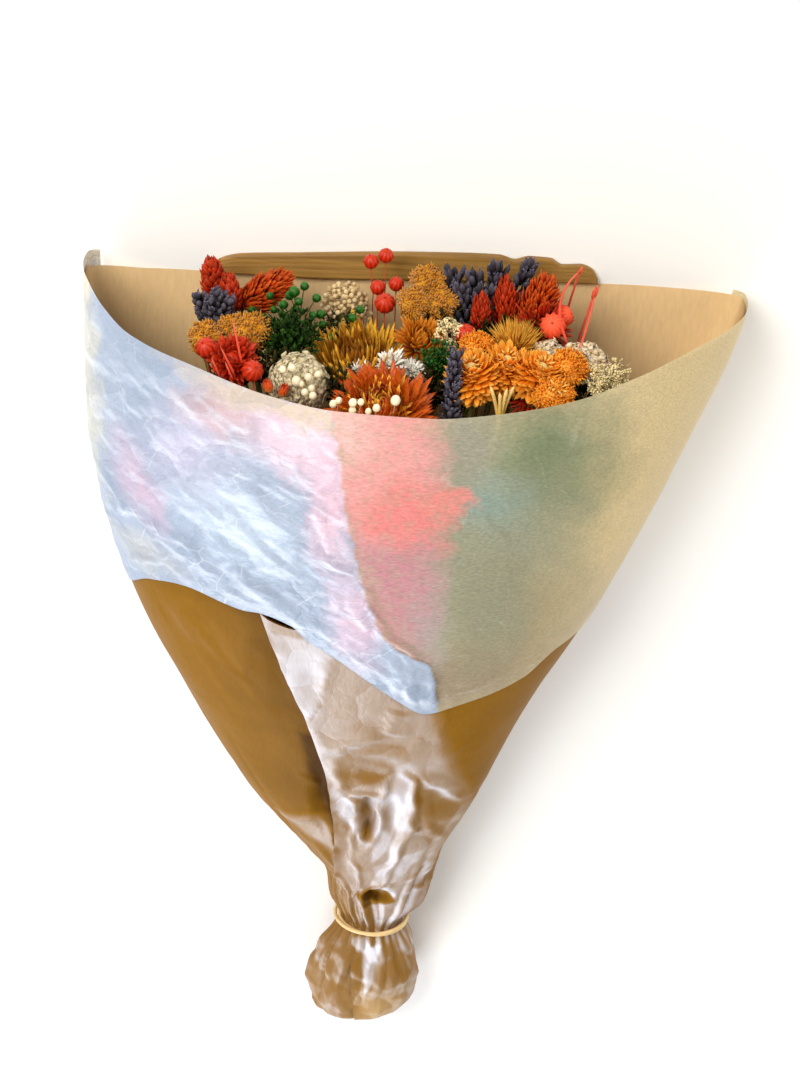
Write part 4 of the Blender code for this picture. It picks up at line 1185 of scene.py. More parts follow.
# %% Spots of the tissue
# what shines through the single layer: flowers, brooms and the pale paper behind; each spot is
# x, station, half width, half length, turn, strength and colour
SINGLE_SPOTS = (
    (118, 345, 70, 160, -25, 1.5, (226, 204, 154)), (56, 335, 42, 48, 0, 1.4, (144, 150, 116)),
    (52, 338, 13, 40, -12, 0.8, (120, 134, 100)), (36, 296, 50, 60, 15, 1.4, (160, 162, 138)),
    (34, 322, 22, 20, 0, 1, (146, 166, 156)), (22, 346, 18, 24, 0, 1.6, (164, 160, 142)),
    (30, 238, 48, 26, 10, 1.5, (166, 150, 124)), (15, 268, 12, 36, 0, 1.3, (176, 176, 168)),
    (58, 262, 36, 42, 35, 0.8, (178, 162, 122)), (38, 276, 26, 46, 8, 1.4, (158, 156, 130)))
CORAL_SPOTS = (
    (0, 300, 24, 80, 4, 1.5, (206, 146, 154)), (-6, 336, 26, 42, 0, 2, (238, 166, 162)),
    (5, 317, 24, 20, 0, 1.8, (238, 142, 138)), (20, 322, 12, 10, 0, 1.6, (236, 148, 138)),
    (-22, 352, 16, 22, 0, 1.4, (246, 196, 190)))
# on the doubled part: pinks and creams that show through it, and lilac and pale blue spots of painted
# reflection
DOUBLE_SPOTS = (
    (-106, 308, 13, 30, 28, 0.75, (222, 184, 204)), (-73, 350, 22, 17, 0, 1.5, (198, 172, 176)),
    (-40, 346, 34, 22, -30, 1.2, (238, 206, 218)), (-24, 318, 15, 40, 0, 1.1, (238, 200, 214)),
    (-14, 266, 14, 34, 10, 1.2, (216, 192, 210)), (-46, 358, 60, 9, -12, 1.4, (214, 196, 178)),
    (-134, 335, 13, 90, 0, 1.5, (206, 206, 198)), (-104, 274, 26, 12, 0, 0.6, (204, 200, 190)),
    (-136, 381, 9, 12, 0, 1.4, (222, 212, 190)), (-84, 330, 30, 26, 0, 0.8, (206, 200, 222)),
    (-60, 300, 34, 24, -30, 1, (196, 212, 230)))


def painted(tree, vector, ground, spots):
    """Soft oval spots laid over a colour one after another, each 1 in its middle and 0 at its rim."""
    for x, station, wide, long, turn, strength, tint in spots:
        place = node(tree, "Mapping", "Vector", vector_type="TEXTURE", Vector=vector,
                     Location=(x * MM, (station - TAIL_END) * MM, 0.0),
                     Rotation=(0.0, 0.0, np.radians(turn)), Scale=(wide * MM, long * MM, 10.0))
        spot = node(tree, "TexGradient", "Fac", gradient_type="SPHERICAL", Vector=place)
        share = mapped(tree, spot, 0.0, 1.0 / strength, 0.0, 1.0)
        ground = blend(tree, "MIX", share, ground, srgb(*tint))
    return ground


# %% Tissue finish
tree, shader, place = new_paint("tissue_paper")
double = attribute(tree, "tint")
# tone: painted light and shade, stored at the sheet's points
tone = attribute(tree, "along")


def by_layer(single, doubled):
    """A value for the single layer and one for the doubled part."""
    return mapped(tree, double, 0.0, 1.0, single, doubled)


def shaded(colour, pale, pale_share, dark, dark_share):
    """A colour paler where the paper faces the lamp and darker where it turns away."""
    colour = blend(tree, "MIX", mapped(tree, tone, 0.52, 0.85, 0.0, pale_share), colour, srgb(*pale))
    return blend(tree, "MIX", mapped(tree, tone, 0.48, 0.20, 0.0, dark_share), colour, srgb(*dark))


ragged = pushed(tree, pushed(tree, place, 70.0, 0.022), 330.0, 0.007)
ragged = scaled(tree, ragged, (1.0, 1.0, 1.0), 0.0, (-0.0145, -0.0145, 0.0))
blossoms = noise(tree, place, 300.0, 2.0)
creases = cells(tree, scaled(tree, pushed(tree, place, 40.0, 0.03), (26.0, 34.0, 30.0), -30.0), EDGES, 1.0)
single = painted(tree, ragged, srgb(190, 178, 146), SINGLE_SPOTS)
single = blend(tree, "MIX", mapped(tree, blossoms, 0.38, 0.56, 0.70, 1.0), single,
               painted(tree, ragged, single, CORAL_SPOTS))
# faint pale lines painted along the creases of the single layer: painted highlights on their ridges
faint = mapped(tree, blossoms, 0.40, 0.60, 0.0, 0.16)
line = combined(tree, "Math", "MULTIPLY", mapped(tree, creases, 0.0, 0.012, 1.0, 0.0), faint)
single = blend(tree, "MIX", line, single, srgb(238, 234, 220))
single = shaded(single, (240, 236, 222), 0.7, (120, 110, 88), 0.5)

leaning = scaled(tree, pushed(tree, place, 45.0, 0.020), (42.0, 105.0, 60.0), 38.0)
# each facet of the doubled part painted a little paler or darker: painted light and shade on the crumples
shades = ramp(tree, cells(tree, leaning, "F1"), ((0.3, (.90, .91, .94)), (0.7, (1.07, 1.06, 1.07))))
# the doubled part's pale bluish white: white paper with a painted reflection of cool light, and the spots
# over it
white = painted(tree, ragged, srgb(164, 178, 198), DOUBLE_SPOTS)
white = blend(tree, "MULTIPLY", 1.0, white, shades)
white = shaded(white, (232, 240, 250), 0.85, (138, 150, 178), 0.22)
# pale lines painted along straight creases of the doubled part, broken up by a noise: painted highlights on
# their ridges
straight = cells(tree, scaled(tree, place, (60.0, 105.0, 60.0), 34.0), EDGES)
broken = mapped(tree, noise(tree, place, 60.0, 2.0, 0.5), 0.50, 0.64, 0.0, 0.36)
sharp = combined(tree, "Math", "MULTIPLY", mapped(tree, straight, 0.0, 0.03, 1.0, 0.0), broken)
white = blend(tree, "MIX", sharp, white, srgb(240, 246, 254))

grain = noise(tree, scaled(tree, place, (420.0, 1300.0, 1300.0)), 1.0, rough=0.7)
specks = ramp(tree, grain, ((0.32, (.76, .76, .76)), (0.68, (1.12, 1.12, 1.12))))
colour = blend(tree, "MULTIPLY", by_layer(0.95, 0.45), blend(tree, "MIX", double, single, white), specks)
fine_roofs = cells(tree, scaled(tree, leaning, (2.3, 2.0, 2.3), 25.0), EDGES, 1.0)
normal = relief(tree, cells(tree, leaning, EDGES, 2.0), 0.0025, by_layer(0.0, 0.9))
normal = relief(tree, fine_roofs, 0.0014, by_layer(0.0, 0.8), Normal=normal)
normal = relief(tree, creases, 0.002, by_layer(0.30, 0.3), Normal=normal)
settle(tree, shader, Base_Color=colour, Alpha=by_layer(0.87, 0.965), Roughness=0.4,
       Normal=relief(tree, grain, 0.0002, 0.6, Normal=normal), Specular_IOR_Level=by_layer(0.2, 0.38))
tissue = sheet_piece("tissue", tissue_surface(), "tissue_paper", ["tissue_sheet"], flip=True)

# %% [markdown]
# ## Hem and rubber band
#
# The hem at the back of the mouth is the paper's edge folded over several times, so its top
# is a few narrow steps that run along it. The rubber band is one closed loop that goes round
# the neck twice. Both are rings of points carried along a line.

# %% Hem and band
HEM_FAR = np.array([  # x, station of the outer edge
    (-85, 381), (-80, 383.5), (-74, 385), (-50, 387), (-4, 390.5), (35, 392), (42, 390.5), (48, 392.2),
    (57, 392), (62, 389.6), (70, 390.2), (75, 388.5), (78, 384)], dtype=float)
HEM_NEAR = 0.35
HEM_SECTIONS = 240
BAND_TURNS = 280
BAND_SIDES = 10
BAND = 0.9
BAND_SPACING = BAND + 0.15


def tube_part(rings, looped=False):
    """A closed part from rings of points; its ends are joined to each other or capped."""
    count, sides = rings.shape[:2]
    number = np.arange(count * sides).reshape(count, sides)
    ahead = np.roll(number, -1, axis=0) if looped else number[1:]
    here = number if looped else number[:-1]
    quads = np.stack([here, np.roll(here, -1, 1), np.roll(ahead, -1, 1), ahead], -1).reshape(-1, 4)
    points = rings.reshape(-1, 3)
    caps = np.zeros((0, 3), dtype=int)
    if not looped:
        points = np.concatenate([points, rings[:1].mean(1), rings[-1:].mean(1)])
        first = np.full(sides, count * sides)
        caps = np.concatenate([
            np.stack([first, np.roll(number[0], -1), number[0]], -1),
            np.stack([first + 1, number[-1], np.roll(number[-1], -1)], -1)])
    return {"points": points, "quads": quads, "triangles": caps, "along": np.zeros(len(points)),
            "tint": np.zeros(len(points)), "use": 0}


def plain_finish(name, colour, dark, rough, scale, strength):
    """A plain finish with clouds of a darker colour and a fine relief."""
    tree, shader, place = new_paint(name)
    clouds = noise(tree, scaled(tree, place, scale), 1.0)
    settle(tree, shader, Base_Color=ramp(tree, clouds, rgb_stops((0.35, *dark), (0.65, *colour))),
           Normal=relief(tree, clouds, 0.0004, strength), Roughness=rough)


def hem_rings():
    """Sections along x: over the top from the near edge to the far one, and back below."""
    x = np.linspace(-84.6, 77.6, HEM_SECTIONS)[:, None]
    near = read_table(BACK_RIM, x[:, 0])[:, :1] + HEM_NEAR
    far = read_table(HEM_FAR, x[:, 0])[:, :1]
    t = np.linspace(0, 1, 26)[None]
    height = 4.0 - 0.8 * t - 0.10 * ((t * 5.0 + 0.10 * np.sin(x * 0.05)) % 1.0) ** 2
    height = height + 0.03 * np.sin(x * 0.9 + 3 * t) * np.sin(x * 0.23)
    height = height * np.minimum(1, np.sin(np.pi * np.clip(t * 0.96 + 0.02, 0, 1)) * 5)
    top = to_metres(x + 0 * t, near + (far - near) * t, np.maximum(height, 0.5))
    below = to_metres(x + 0 * t, near + (far - near) * t[:, ::-1], 0.12 + 0 * height)
    return np.concatenate([top, below[:, 1:-1]], axis=1)[:, ::-1]


def band_rings():
    """A round band that winds twice round the neck, its two rounds side by side."""
    turn = np.linspace(0, 4 * np.pi, BAND_TURNS, endpoint=False)[:, None]
    ring = (np.arange(BAND_SIDES) * 2 * np.pi / BAND_SIDES)[None]
    outside = 0.6 + BAND_SPACING + BAND + BAND_SPACING * np.sin(turn / 2) + BAND * np.cos(ring)
    along = BAND_SPACING * np.cos(turn / 2) + BAND * np.sin(ring)
    reach = 14.5 + outside
    rise = np.where(np.sin(turn) >= 0, 14.5, 14.0) + outside
    return to_metres(reach * np.cos(turn), NECK + along, 20 + rise * np.sin(turn))


plain_finish("hem_paper", (166, 124, 50), (132, 94, 32), 0.5, (14.0, 420.0, 420.0), 0.12)
plain_finish("rubber", (236, 206, 150), (226, 192, 132), 0.42, (200.0,) * 3, 0.1)
make_piece("hem", [tube_part(hem_rings())], "hem_paper", ["back_hem"], tuck=False)
make_piece("band", [tube_part(band_rings(), looped=True)], "rubber", ["rubber_band"],
           tuck=False)
print("hem and band triangles:", triangles["hem"], triangles["band"])

# %% [markdown]
# ## Stems
#
# Under the paper every sprig is a thin dried stem that runs from the tail, through the band,
# to its head. The frame's rings give the line, and a round rod carried along it is the stem.

# %% Stems and axes


def stem_part(name, radius=0.75, use=1, rows=26):
    """The sprig's line up to its head, as one rod of a radius in millimetres."""
    line = sprigs[name]["line"][: sprigs[name]["neck_row"] + 2]
    at = np.linspace(0, len(line) - 1, rows)
    path = np.stack([np.interp(at, np.arange(len(line)), line[:, k]) for k in range(3)], axis=1)
    half = np.full((1, rows), radius * MM)
    return closed_shapes(path[None], np.array([[1.0, 0, 0]]), half, half, 6, use=use)


def axis_of(name, across=0.0, rise=0.0):
    """The way a head faces: along its stem, leaned across and upwards."""
    sprig = sprigs[name]
    return unit(unit(sprig["high"] - sprig["low"]) + np.array([across, 0.0, rise]))


def moved(name, across=0.0, ahead=0.0, up=0.0):
    """A place given in millimetres from the middle of a sprig's head."""
    return sprigs[name]["middle"] + mm(across, ahead, up)


def head_piece(name, parts, finishes, stem=0.75):
    """A piece made of a head's parts and the sprig's stem, which takes the second finish."""
    make_piece("flower_" + name, parts + [stem_part(name, stem)], finishes, [name])


print("longest head:", round(max(sprig["length"] for sprig in sprigs.values()) / MM), "mm")

# %% [markdown]
# ## Canary grass
#
# A spike of canary grass is a dense egg of pointed scales that overlap upwards. Each scale is
# one blade, leaning out from the axis, and the golden angle sets the turn from one to the next.

# %% Canary grass


def canary_spike(low, axis, length, radius, count, long, wide, lean):
    """Scales up a spike: the nearer the top, the closer they stand to the axis."""
    share = (np.arange(count) + 0.5) / count
    radial = round_turns(count, axis)
    swell = np.interp(share, (0, 0.12, 0.45, 0.8, 1), (0.55, 0.9, 1.0, 0.75, 0.15))
    base = low + axis * (share * length * 0.86)[:, None] + radial * (swell * radius * 0.5)[:, None]
    tilt = lean + 0.4 * share + loose(count, 0.12)
    return blades(base, radial, axis, long * MM * uneven(count), wide * MM * uneven(count), tilt,
                  0.3, (0, 0.7, 1, 0.9, 0.5, 0), 0.5, cup=-0.15, tint=random.random(count))


CANARY = (  # name, scales, their length and half width, lean, radius, length, across, up, colour
    ("canary_grass_red_1", 130, 4.8, 1.6, 0.85, 7.5, 20, 0.05, 0.0, "red"),
    ("canary_grass_red_2", 120, 4.6, 1.4, 0.9, 6.0, 16, 0.0, 0.0, "red"),
    ("canary_grass_orange", 340, 5.8, 0.9, 0.75, 8.8, 23, 0.50, 0.1, "orange"),
    ("canary_grass_right_1", 220, 5.5, 0.9, 0.9, 7.0, 21, -0.1, 0.0, "red"),
    ("canary_grass_right_2", 340, 6.6, 0.9, 0.7, 10.0, 26, 0.05, 0.1, "orange"),
    ("canary_grass_right_3", 120, 4.6, 0.9, 0.95, 4.8, 14, 0.0, 0.0, "red"))
for name, count, long, wide, lean, radius, length, across, rise, colour in CANARY:
    spike = canary_spike(sprigs[name]["low"], axis_of(name, across, rise), length * MM, radius * MM,
                         count, long, wide, lean)
    slot = "canary_grass_orange" if name == "canary_grass_orange" else "canary_grass_red"
    head_piece(name, [spike], f"canary_{colour} dried_stem")
print("canary grass triangles:", count_of("canary"))

# %% [markdown]
# ## Lavender
#
# Lavender carries its buds in rings one above another. A bud is a small six-sided barrel that
# leans out, and at its mouth tiny points show. Rings are laid by their height on the spike,
# and each ring is turned from the one below.

# %% Lavender
RING_STEP = 2.7
RING_BUDS = 6


def lavender_spike(low, axis, length, radius, petals):
    """Rings of buds up an axis, and points at the mouths of a share of them."""
    rings = int(length / MM / RING_STEP)
    count = rings * RING_BUDS
    ring = np.repeat(np.arange(rings), RING_BUDS)
    share = (ring + random.random(count) * 0.6) / rings
    turn = np.tile(np.arange(RING_BUDS), rings) * 2 * np.pi / RING_BUDS + ring * 0.7
    radial = turned(turn + loose(count, 0.2), axis)
    base = low + axis * (share * length * 0.95)[:, None] + radial * radius * 0.2
    lean = 0.7 + 0.55 * share + loose(count, 0.15)
    long = radius * 0.85 * uneven(count)
    buds = blades(base, radial, axis, long, 1.15 * MM * uneven(count), lean, 0.3,
                  (0, 0.75, 1, 1, 0.8, 0.2), 0.95, tint=random.random(count))
    pick = random.random(count) < petals
    angle = lean[pick] + 0.2
    tip = base[pick] + (np.cos(angle)[:, None] * radial[pick] + np.sin(angle)[:, None] * axis
                        ) * long[pick][:, None] * 0.9
    tip = np.repeat(tip, 3, axis=0)
    number = len(tip)
    way = unit(np.repeat(radial[pick], 3, axis=0) + 0.9 * axis)
    side = unit(np.cross(way, random.normal(size=(number, 3))))
    lips = blades(tip, way, side, 1.5 * MM * uneven(number, 0.25), 0.38 * MM, 0.5, 0.6,
                  (0, 1, 0.7, 0), 0.3, sides=4, use=2)
    return [buds, lips]


LAVENDER = (  # name, radius, length, petals, across, up, second spike
    ("lavender_back_1", 8.0, 24, 0.4, -0.15, 0.0, True), ("lavender_back_2", 8.0, 24, 0.4, -0.1, 0.1, True),
    ("lavender_back_3", 7.0, 25, 0.5, -0.05, 0.0, False),
    ("lavender_back_4", 6.0, 21, 0.9, 0.28, 0.0, False), ("lavender_front", 5.0, 31, 1.0, 0.0, 0.1, False))
CLUMP = (  # leans across and up, shift across of each spike of the left clump
    (-0.5, 0.2, -2.5), (-0.15, 0.45, -0.5), (0.2, 0.2, 1.0), (0.5, 0.35, 2.8), (0.0, -0.1, 0.0))
LAVENDER_LOOKS = "lavender_bud dried_stem lavender_petal"
for name, radius, length, petals, across, rise, second in LAVENDER:
    low = sprigs[name]["low"]
    axis = axis_of(name, across, rise)
    parts = lavender_spike(low, axis, length * MM, radius * MM, petals)
    if second:
        beside = low + mm(3.5, 1, 6)
        parts += lavender_spike(beside, axis, length * 0.8 * MM, radius * 0.9 * MM, petals)
    head_piece(name, parts, LAVENDER_LOOKS)
name = "lavender_left"
parts = []
for across, rise, shift in CLUMP:
    start = sprigs[name]["low"] + mm(shift - 0.5, 1, 0)
    parts += lavender_spike(start, axis_of(name, across * 0.6, rise), 15.5 * MM, 4.6 * MM, 0.25)
head_piece(name, parts, LAVENDER_LOOKS)
print("lavender triangles:", count_of("lavender"))

# %% [markdown]
# ## Yellow cluster heads
#
# A yellow head is a cushion of hundreds of tiny florets. From a hand's width away only their
# tips show, so each is one short blade that points out from one of a few overlapping lumps.

# %% Mustard heads
FLUFF_DEPTH = 0.35
FLUFF_REACH = 2.1


def fluff(centre, radius, axis, count, wide):
    """Short blades out of a ball, between its pole on the axis and an angle from it."""
    radial, polar = spread(count, axis, 0.0, FLUFF_REACH, 0.004)
    out = directions(radial, polar, axis)
    lumpy = radius * (1 + 0.10 * np.sin(out @ np.array([7.0, 3, 5]) * 3))
    base = centre + out * (lumpy * (1 - FLUFF_DEPTH))[:, None]
    return blades(base, out, square_to(out), lumpy * (FLUFF_DEPTH + 0.08) * uneven(count, 0.18),
                  wide * MM * uneven(count, 0.2), loose(count, 0.35),
                  loose(count, 0.8), (0, 0.8, 1, 0.6, 0), 0.8, sides=3,
                  tint=random.random(count))


def cushion(centre, radius, axis, lumps, count, wide):
    """Overlapping fluffy lumps over half a ball, each with a core that closes the gaps."""
    radial, polar = spread(lumps, axis, 0.2, 1.7)
    ways = directions(radial, polar, axis)
    centres = centre + ways * radius * 0.48
    parts = [fluff(place, radius * 0.62, unit(axis + way), count, wide)
             for place, way in zip(centres, ways)]
    return parts + [balls(centres, radius * 0.46, ways, 1, 7, 10, tint=0.3)]


MUSTARD = (  # name, radius, shift across, along and up
    ("mustard_head_left_1", 8.0, 0.5, -0.5, 0.0), ("mustard_head_left_2", 6.2, 1.0, 1.5, 1.0),
    ("mustard_head_left_3", 8.6, -1.0, 1.0, 0.0), ("mustard_head_back_1", 8.2, 2.0, -0.5, 3.0),
    ("mustard_head_back_2", 7.6, -0.5, 0.0, 0.0), ("mustard_head_back_3", 8.0, -1.5, -0.5, 0.0))
for name, radius, *shift in MUSTARD:
    parts = cushion(moved(name, *shift), radius * MM, axis_of(name, 0, 0.7), 6, 118, 0.5)
    head_piece(name, parts, "mustard_floret dried_stem", 0.9)
print("mustard triangles:", count_of("mustard"))

# %% [markdown]
# ## Orange heads
#
# Half of these are domes of flat petals that lie one over another like tiles and turn up at
# their tips: the petals start on a ball and first run down its side. The others are cushions
# like the yellow heads. Most have a pale button on top.

# %% Orange heads


def tiled_dome(centre, radius, axis, count, long=0.72, wide=0.19, start=0.25, stop=2.3, lean=0.7,
               curl=-0.9, use=0):
    """Petals over a ball: each leaves it slanting down its side and curls at the tip."""
    radial, polar = spread(count, axis, start, stop, 0.006)
    out = directions(radial, polar, axis)
    down = directions(radial, polar + np.pi / 2, axis)
    return blades(centre + out * radius * 0.6, out, down, radius * long * uneven(count, 0.14),
                  radius * wide * uneven(count), lean + loose(count, 0.14), curl,
                  (0, 0.7, 1, 0.95, 0.6, 0), 0.16, cup=0.15, tint=random.random(count), use=use)


ORANGE = (  # name, radius, leans across and up, tiled or fluffy, with a button
    ("orange_head_1", 7.8, -0.15, 0.3, "fluffy", False), ("orange_head_2", 9.2, -0.25, 0.3, "tiled", True),
    ("orange_head_3", 9.0, 0.0, 0.25, "tiled", True), ("orange_head_4", 8.8, 0.3, 0.3, "tiled", True),
    ("orange_head_5", 8.6, 0.4, 0.5, "fluffy", False), ("orange_head_6", 8.2, 0.1, 0.6, "fluffy", True))
for name, radius, across, rise, kind, button in ORANGE:
    radius = radius * MM
    middle = moved(name, 0.0, 1.6, 0.6)
    axis = axis_of(name, across, rise)
    if kind == "tiled":
        parts = [tiled_dome(middle, radius, axis, 170),
                 balls(middle[None], radius * 0.66, axis, 0.95, 9, 14, tint=0.2)]
    else:
        parts = cushion(middle, radius * 0.98, axis, 7, 100, 0.55)
    if button:
        place = middle + axis * radius * 0.64
        parts.append(balls(place[None], radius * 0.24, axis, 0.5, 7, 12, use=2))
        parts.append(tiled_dome(place, radius * 0.42, axis, 26, 0.7, 0.12, 0.5, 1.5, 0.4, 0.2, 2))
    head_piece(name, parts, "orange_petal dried_stem orange_button", 0.9)
print("orange triangles:", count_of("orange_head"))

# %% [markdown]
# ## Pods
#
# A flax pod is a ball with ribs from pole to pole and a short beak, on a hair-thin stem. The
# ribs are a cosine added to the radius round the axis, so one ball function makes them all.

# %% Flax and lantern pods


def pod(centre, radius, axis, ribs=10, groove=0.05, stretch=1.0):
    """A ribbed ball with a beak of three points at its top pole."""
    skin = balls(centre[None], radius, axis, stretch, 15, 40, ribs=ribs, groove=groove, tint=0.45)
    top = np.repeat((centre + axis * radius * stretch * 0.97)[None], 3, axis=0)
    beak = blades(top, round_turns(3, axis, 2.1), axis, radius * 0.3, radius * 0.06, 1.1, 0.3,
                  (0, 1, 0.6, 0), 0.8, sides=4)
    return [skin, beak]


PODS = (  # name, radius, leans across and up, shift up
    ("flax_pod_left_1", 4.2, -0.4, 1.0, 0.0), ("flax_pod_left_2", 4.0, 0.0, 0.6, 0.0),
    ("flax_pod_left_3", 4.3, 0.6, 1.2, 0.0), ("flax_pod_back_1", 3.1, -0.2, 0.3, 0.0),
    ("flax_pod_back_2", 3.1, 0.1, 0.4, 0.0), ("flax_pod_back_3", 3.1, -0.1, 0.2, 0.0),
    ("flax_pod_back_4", 3.1, 0.2, 0.3, 0.0), ("flax_pod_back_5", 4.2, 0.0, 0.9, 0.0),
    ("flax_pod_right", 4.1, -0.2, 0.8, 5.0))
for name, radius, across, rise, up in PODS:
    parts = pod(moved(name, 0, 0, up), radius * MM, axis_of(name, across, rise))
    head_piece(name, parts, "flax_pod_red pod_stem", 0.3)
LANTERNS = (  # name, radius, shift across and along, leans across and up
    ("coral_pod_1", 5.3, 1.0, 1.0, -0.3, 1.6), ("coral_pod_2", 4.2, -0.5, 1.0, 1.2, 0.9))
for name, radius, across, ahead, lean, rise in LANTERNS:
    parts = pod(moved(name, across, ahead, 2.0), radius * MM, axis_of(name, lean, rise), 12, 0.14, 0.85)
    head_piece(name, parts, "lantern_coral pod_stem", 0.3)
print("pod triangles:", count_of("pod"))

# %% [markdown]
# ## Green flax, leaves and moss
#
# Dyed flax stands in a fan of fine stems, each with one small pod. The places of the pods are
# listed as offsets from the head's middle, because the eye counts them one by one.

# %% Green sprays
GREEN_PODS = np.array([  # across, along and up from the middle of the head, and radius, in mm
    (-2, 9, 8, 2.2), (2, 11, 6, 1.7), (-6, 3, 7, 1.7), (0, 5, 8, 1.6), (-4, 6, 4, 1.8), (7, 6, 5, 1.7),
    (6, 0, 9, 1.6), (9, 0, 7, 1.8), (5, -7, 12, 1.8), (14, -7, 14, 1.9), (22, 1, 12, 1.7),
    (25, 4, 10, 1.7), (-12, 5, 3, 1.5), (-19, -1, 4, 1.4), (-14, -3, 6, 1.4), (-9, -5, 9, 1.8),
    (-3, -8, 10, 1.8), (-7, -9, 10, 1.7), (0, -3, 10, 1.6), (-6, -1, 8, 1.6), (-1, 0, 3, 1.5),
    (4, -4, 6, 1.6), (-10, 0, 5, 1.5), (10, -4, 8, 1.5), (-15, -9, 10, 1.5), (-16, -12, 14, 1.5)])
fan = sprigs["green_flax_spray"]
tips = fan["middle"] + GREEN_PODS[:, :3] * MM
roots = fan["low"] + (tips - fan["low"]) * np.array([0.15, 0.0, 0.15])
roots = roots + random.normal(size=tips.shape) * MM
bows = (tips - roots) * np.array([-0.12, 0.05, 0.10])
ways = unit(tips - roots + bows)
parts = [rods(roots, tips, bows, 0.3 * MM, 9, 4, use=1)]
parts.append(balls(tips, GREEN_PODS[:, 3] * 1.05 * MM, ways, 1.05, 9, 20, ribs=5, groove=0.10, tint=0.5))
cup_base = np.repeat(tips - ways * (GREEN_PODS[:, 3] * MM * 0.9)[:, None], 5, axis=0)
cup_axis = np.repeat(ways, 5, axis=0)
cup_out = unit(np.cross(cup_axis, random.normal(size=cup_axis.shape)))
parts.append(blades(cup_base, cup_out, cup_axis, 2.6 * MM, 0.6 * MM, 0.3, 1.3, (0, 1, 0.8, 0.4, 0),
                    0.3, sides=4))
make_piece("green_flax", parts + [stem_part("green_flax_spray")], "green_pod green_leaf",
           ["green_flax_spray"])


def bush(foot, centre, axis, count, size, long, wide, reach=1.9):
    """Small pointed leaves on twigs that fan out from a foot to a ball round a centre."""
    twigs = max(count // 12, 4)
    radial, polar = spread(twigs, axis, 0.1, reach * 0.6, 0.02)
    tip = centre + directions(radial, polar, axis) * size * MM
    foot = np.repeat(foot[None], twigs, axis=0)
    twig = rods(foot, tip, random.normal(size=foot.shape) * 0.6 * MM, 0.25 * MM, 5, 4, use=1)
    which = np.arange(count) % twigs
    share = (0.35 + 0.65 * random.random(count))[:, None]
    way = unit(tip - foot)[which]
    out = unit(np.cross(way, random.normal(size=(count, 3))))
    leaf = blades(foot[which] + (tip - foot)[which] * share, out, way, long * MM * uneven(count, 0.2),
                  wide * MM * uneven(count, 0.2), 0.7 + loose(count, 0.3), 0.3,
                  (0, 0.7, 1, 0.7, 0), 0.14, cup=0.2, sides=5, tint=random.random(count))
    return [leaf, twig]


BUSHES = (  # name, leaves, size, leaf length and half width, shift across, along and up
    ("dark_foliage_left", 520, 13.0, 3.4, 0.9, (2.0, 0.0, -2.0), "green_leaf", "dark_foliage"),
    ("moss_sprig", 420, 8.5, 2.0, 0.65, (-0.5, 1.5, 2.0), "green_pod", "moss_green"))
for name, count, size, long, wide, shift, finish, slot in BUSHES:
    parts = bush(sprigs[name]["low"], moved(name, *shift), axis_of(name, 0, 0.6), count, size, long, wide)
    head_piece(name, parts, finish + " green_leaf")
print("green triangles:", count_of("green"), count_of("moss"))

# %% [markdown]
# ## White florets
#
# Statice, the white ball flower and the spray at the right are crowds of tiny flowers with
# a few petals. One function lays such a floret at each of many places, facing a given way.

# %% Florets


def florets(places, ways, size, petals=5, lean=0.35, wide=0.5):
    """At each place petals round a way, opening at a lean above the plane square to it."""
    count = len(places)
    ways = np.repeat(ways, petals, axis=0)
    turn = np.tile(np.arange(petals), count) * 2 * np.pi / petals
    turn = turn + np.repeat(random.random(count), petals) * 6
    number = count * petals
    long = size * uneven(number)
    tint = np.repeat(random.random(count), petals) * 0.6 + random.random(number) * 0.4
    return blades(np.repeat(places, petals, axis=0), turned(turn, ways), ways, long, long * wide,
                  lean + loose(number, 0.2), -0.5, (0, 0.7, 1, 0), 0.15, cup=0.2,
                  sides=4, tint=tint)


def floret_dome(centre, radius, axis, count, size, reach=1.9, lean=0.5):
    """Florets over a ball, facing out, at slightly uneven heights."""
    radial, polar = spread(count, axis, 0.0, reach, 0.01)
    out = directions(radial, polar, axis)
    height = radius * (0.86 + 0.14 * random.random(count))
    return florets(centre + out * height[:, None], out, size * MM, lean=lean)


name = "white_ball_flower"
centre = moved(name, 1.0, -1.0, -1.0)
axis = axis_of(name, -0.1, 1.0)
parts = [floret_dome(centre, 10.9 * MM, axis, 190, 3.2, lean=0.45),
         balls(centre[None], 9.8 * MM, axis, 1, 11, 20, tint=0.4)]
head_piece(name, parts, "grey_petal dried_stem", 0.9)

STATICE = (  # name, size, florets in a lump, lumps, petal, how far the lumps stand out, lowered by
    ("statice_centre", 5.0, 14, 7, 1.5, 1.2, 0.0, (0.0, 0.4), "cream_petal", "statice_cream"),
    ("white_statice_1", 6.2, 15, 8, 3.0, 0.9, 3.5, (0.0, 0.2), "white_petal", "white_statice"),
    ("white_statice_2", 7.4, 16, 9, 3.0, 0.8, 3.5, (0.2, 0.2), "white_petal", "white_statice"))
for name, size, count, lumps, petal, tall, lower, leans, finish, slot in STATICE:
    axis = axis_of(name, *leans)
    radial, polar = spread(lumps, axis, 0.1, 1.7, 0.02)
    shift = directions(radial, polar, axis) * size * tall * MM
    centres = sprigs[name]["middle"] + shift - axis * lower * MM
    parts = [floret_dome(place, size * 0.55 * MM, unit(axis + way / (size * MM)), count, petal, 2.4, 0.4)
             for place, way in zip(centres, shift)]
    feet = np.repeat(sprigs[name]["low"][None], lumps, 0)
    parts.append(rods(feet, centres, shift * 0.1, 0.3 * MM, use=1))
    head_piece(name, parts, finish + " pale_twig")
print("statice triangles:", count_of("statice"))

# %% [markdown]
# ## Airy sprays
#
# A spray is many fine branches from one stem. The branches are rods with a bow, and balls or
# florets are set along them or at their tips.

# %% Sprays


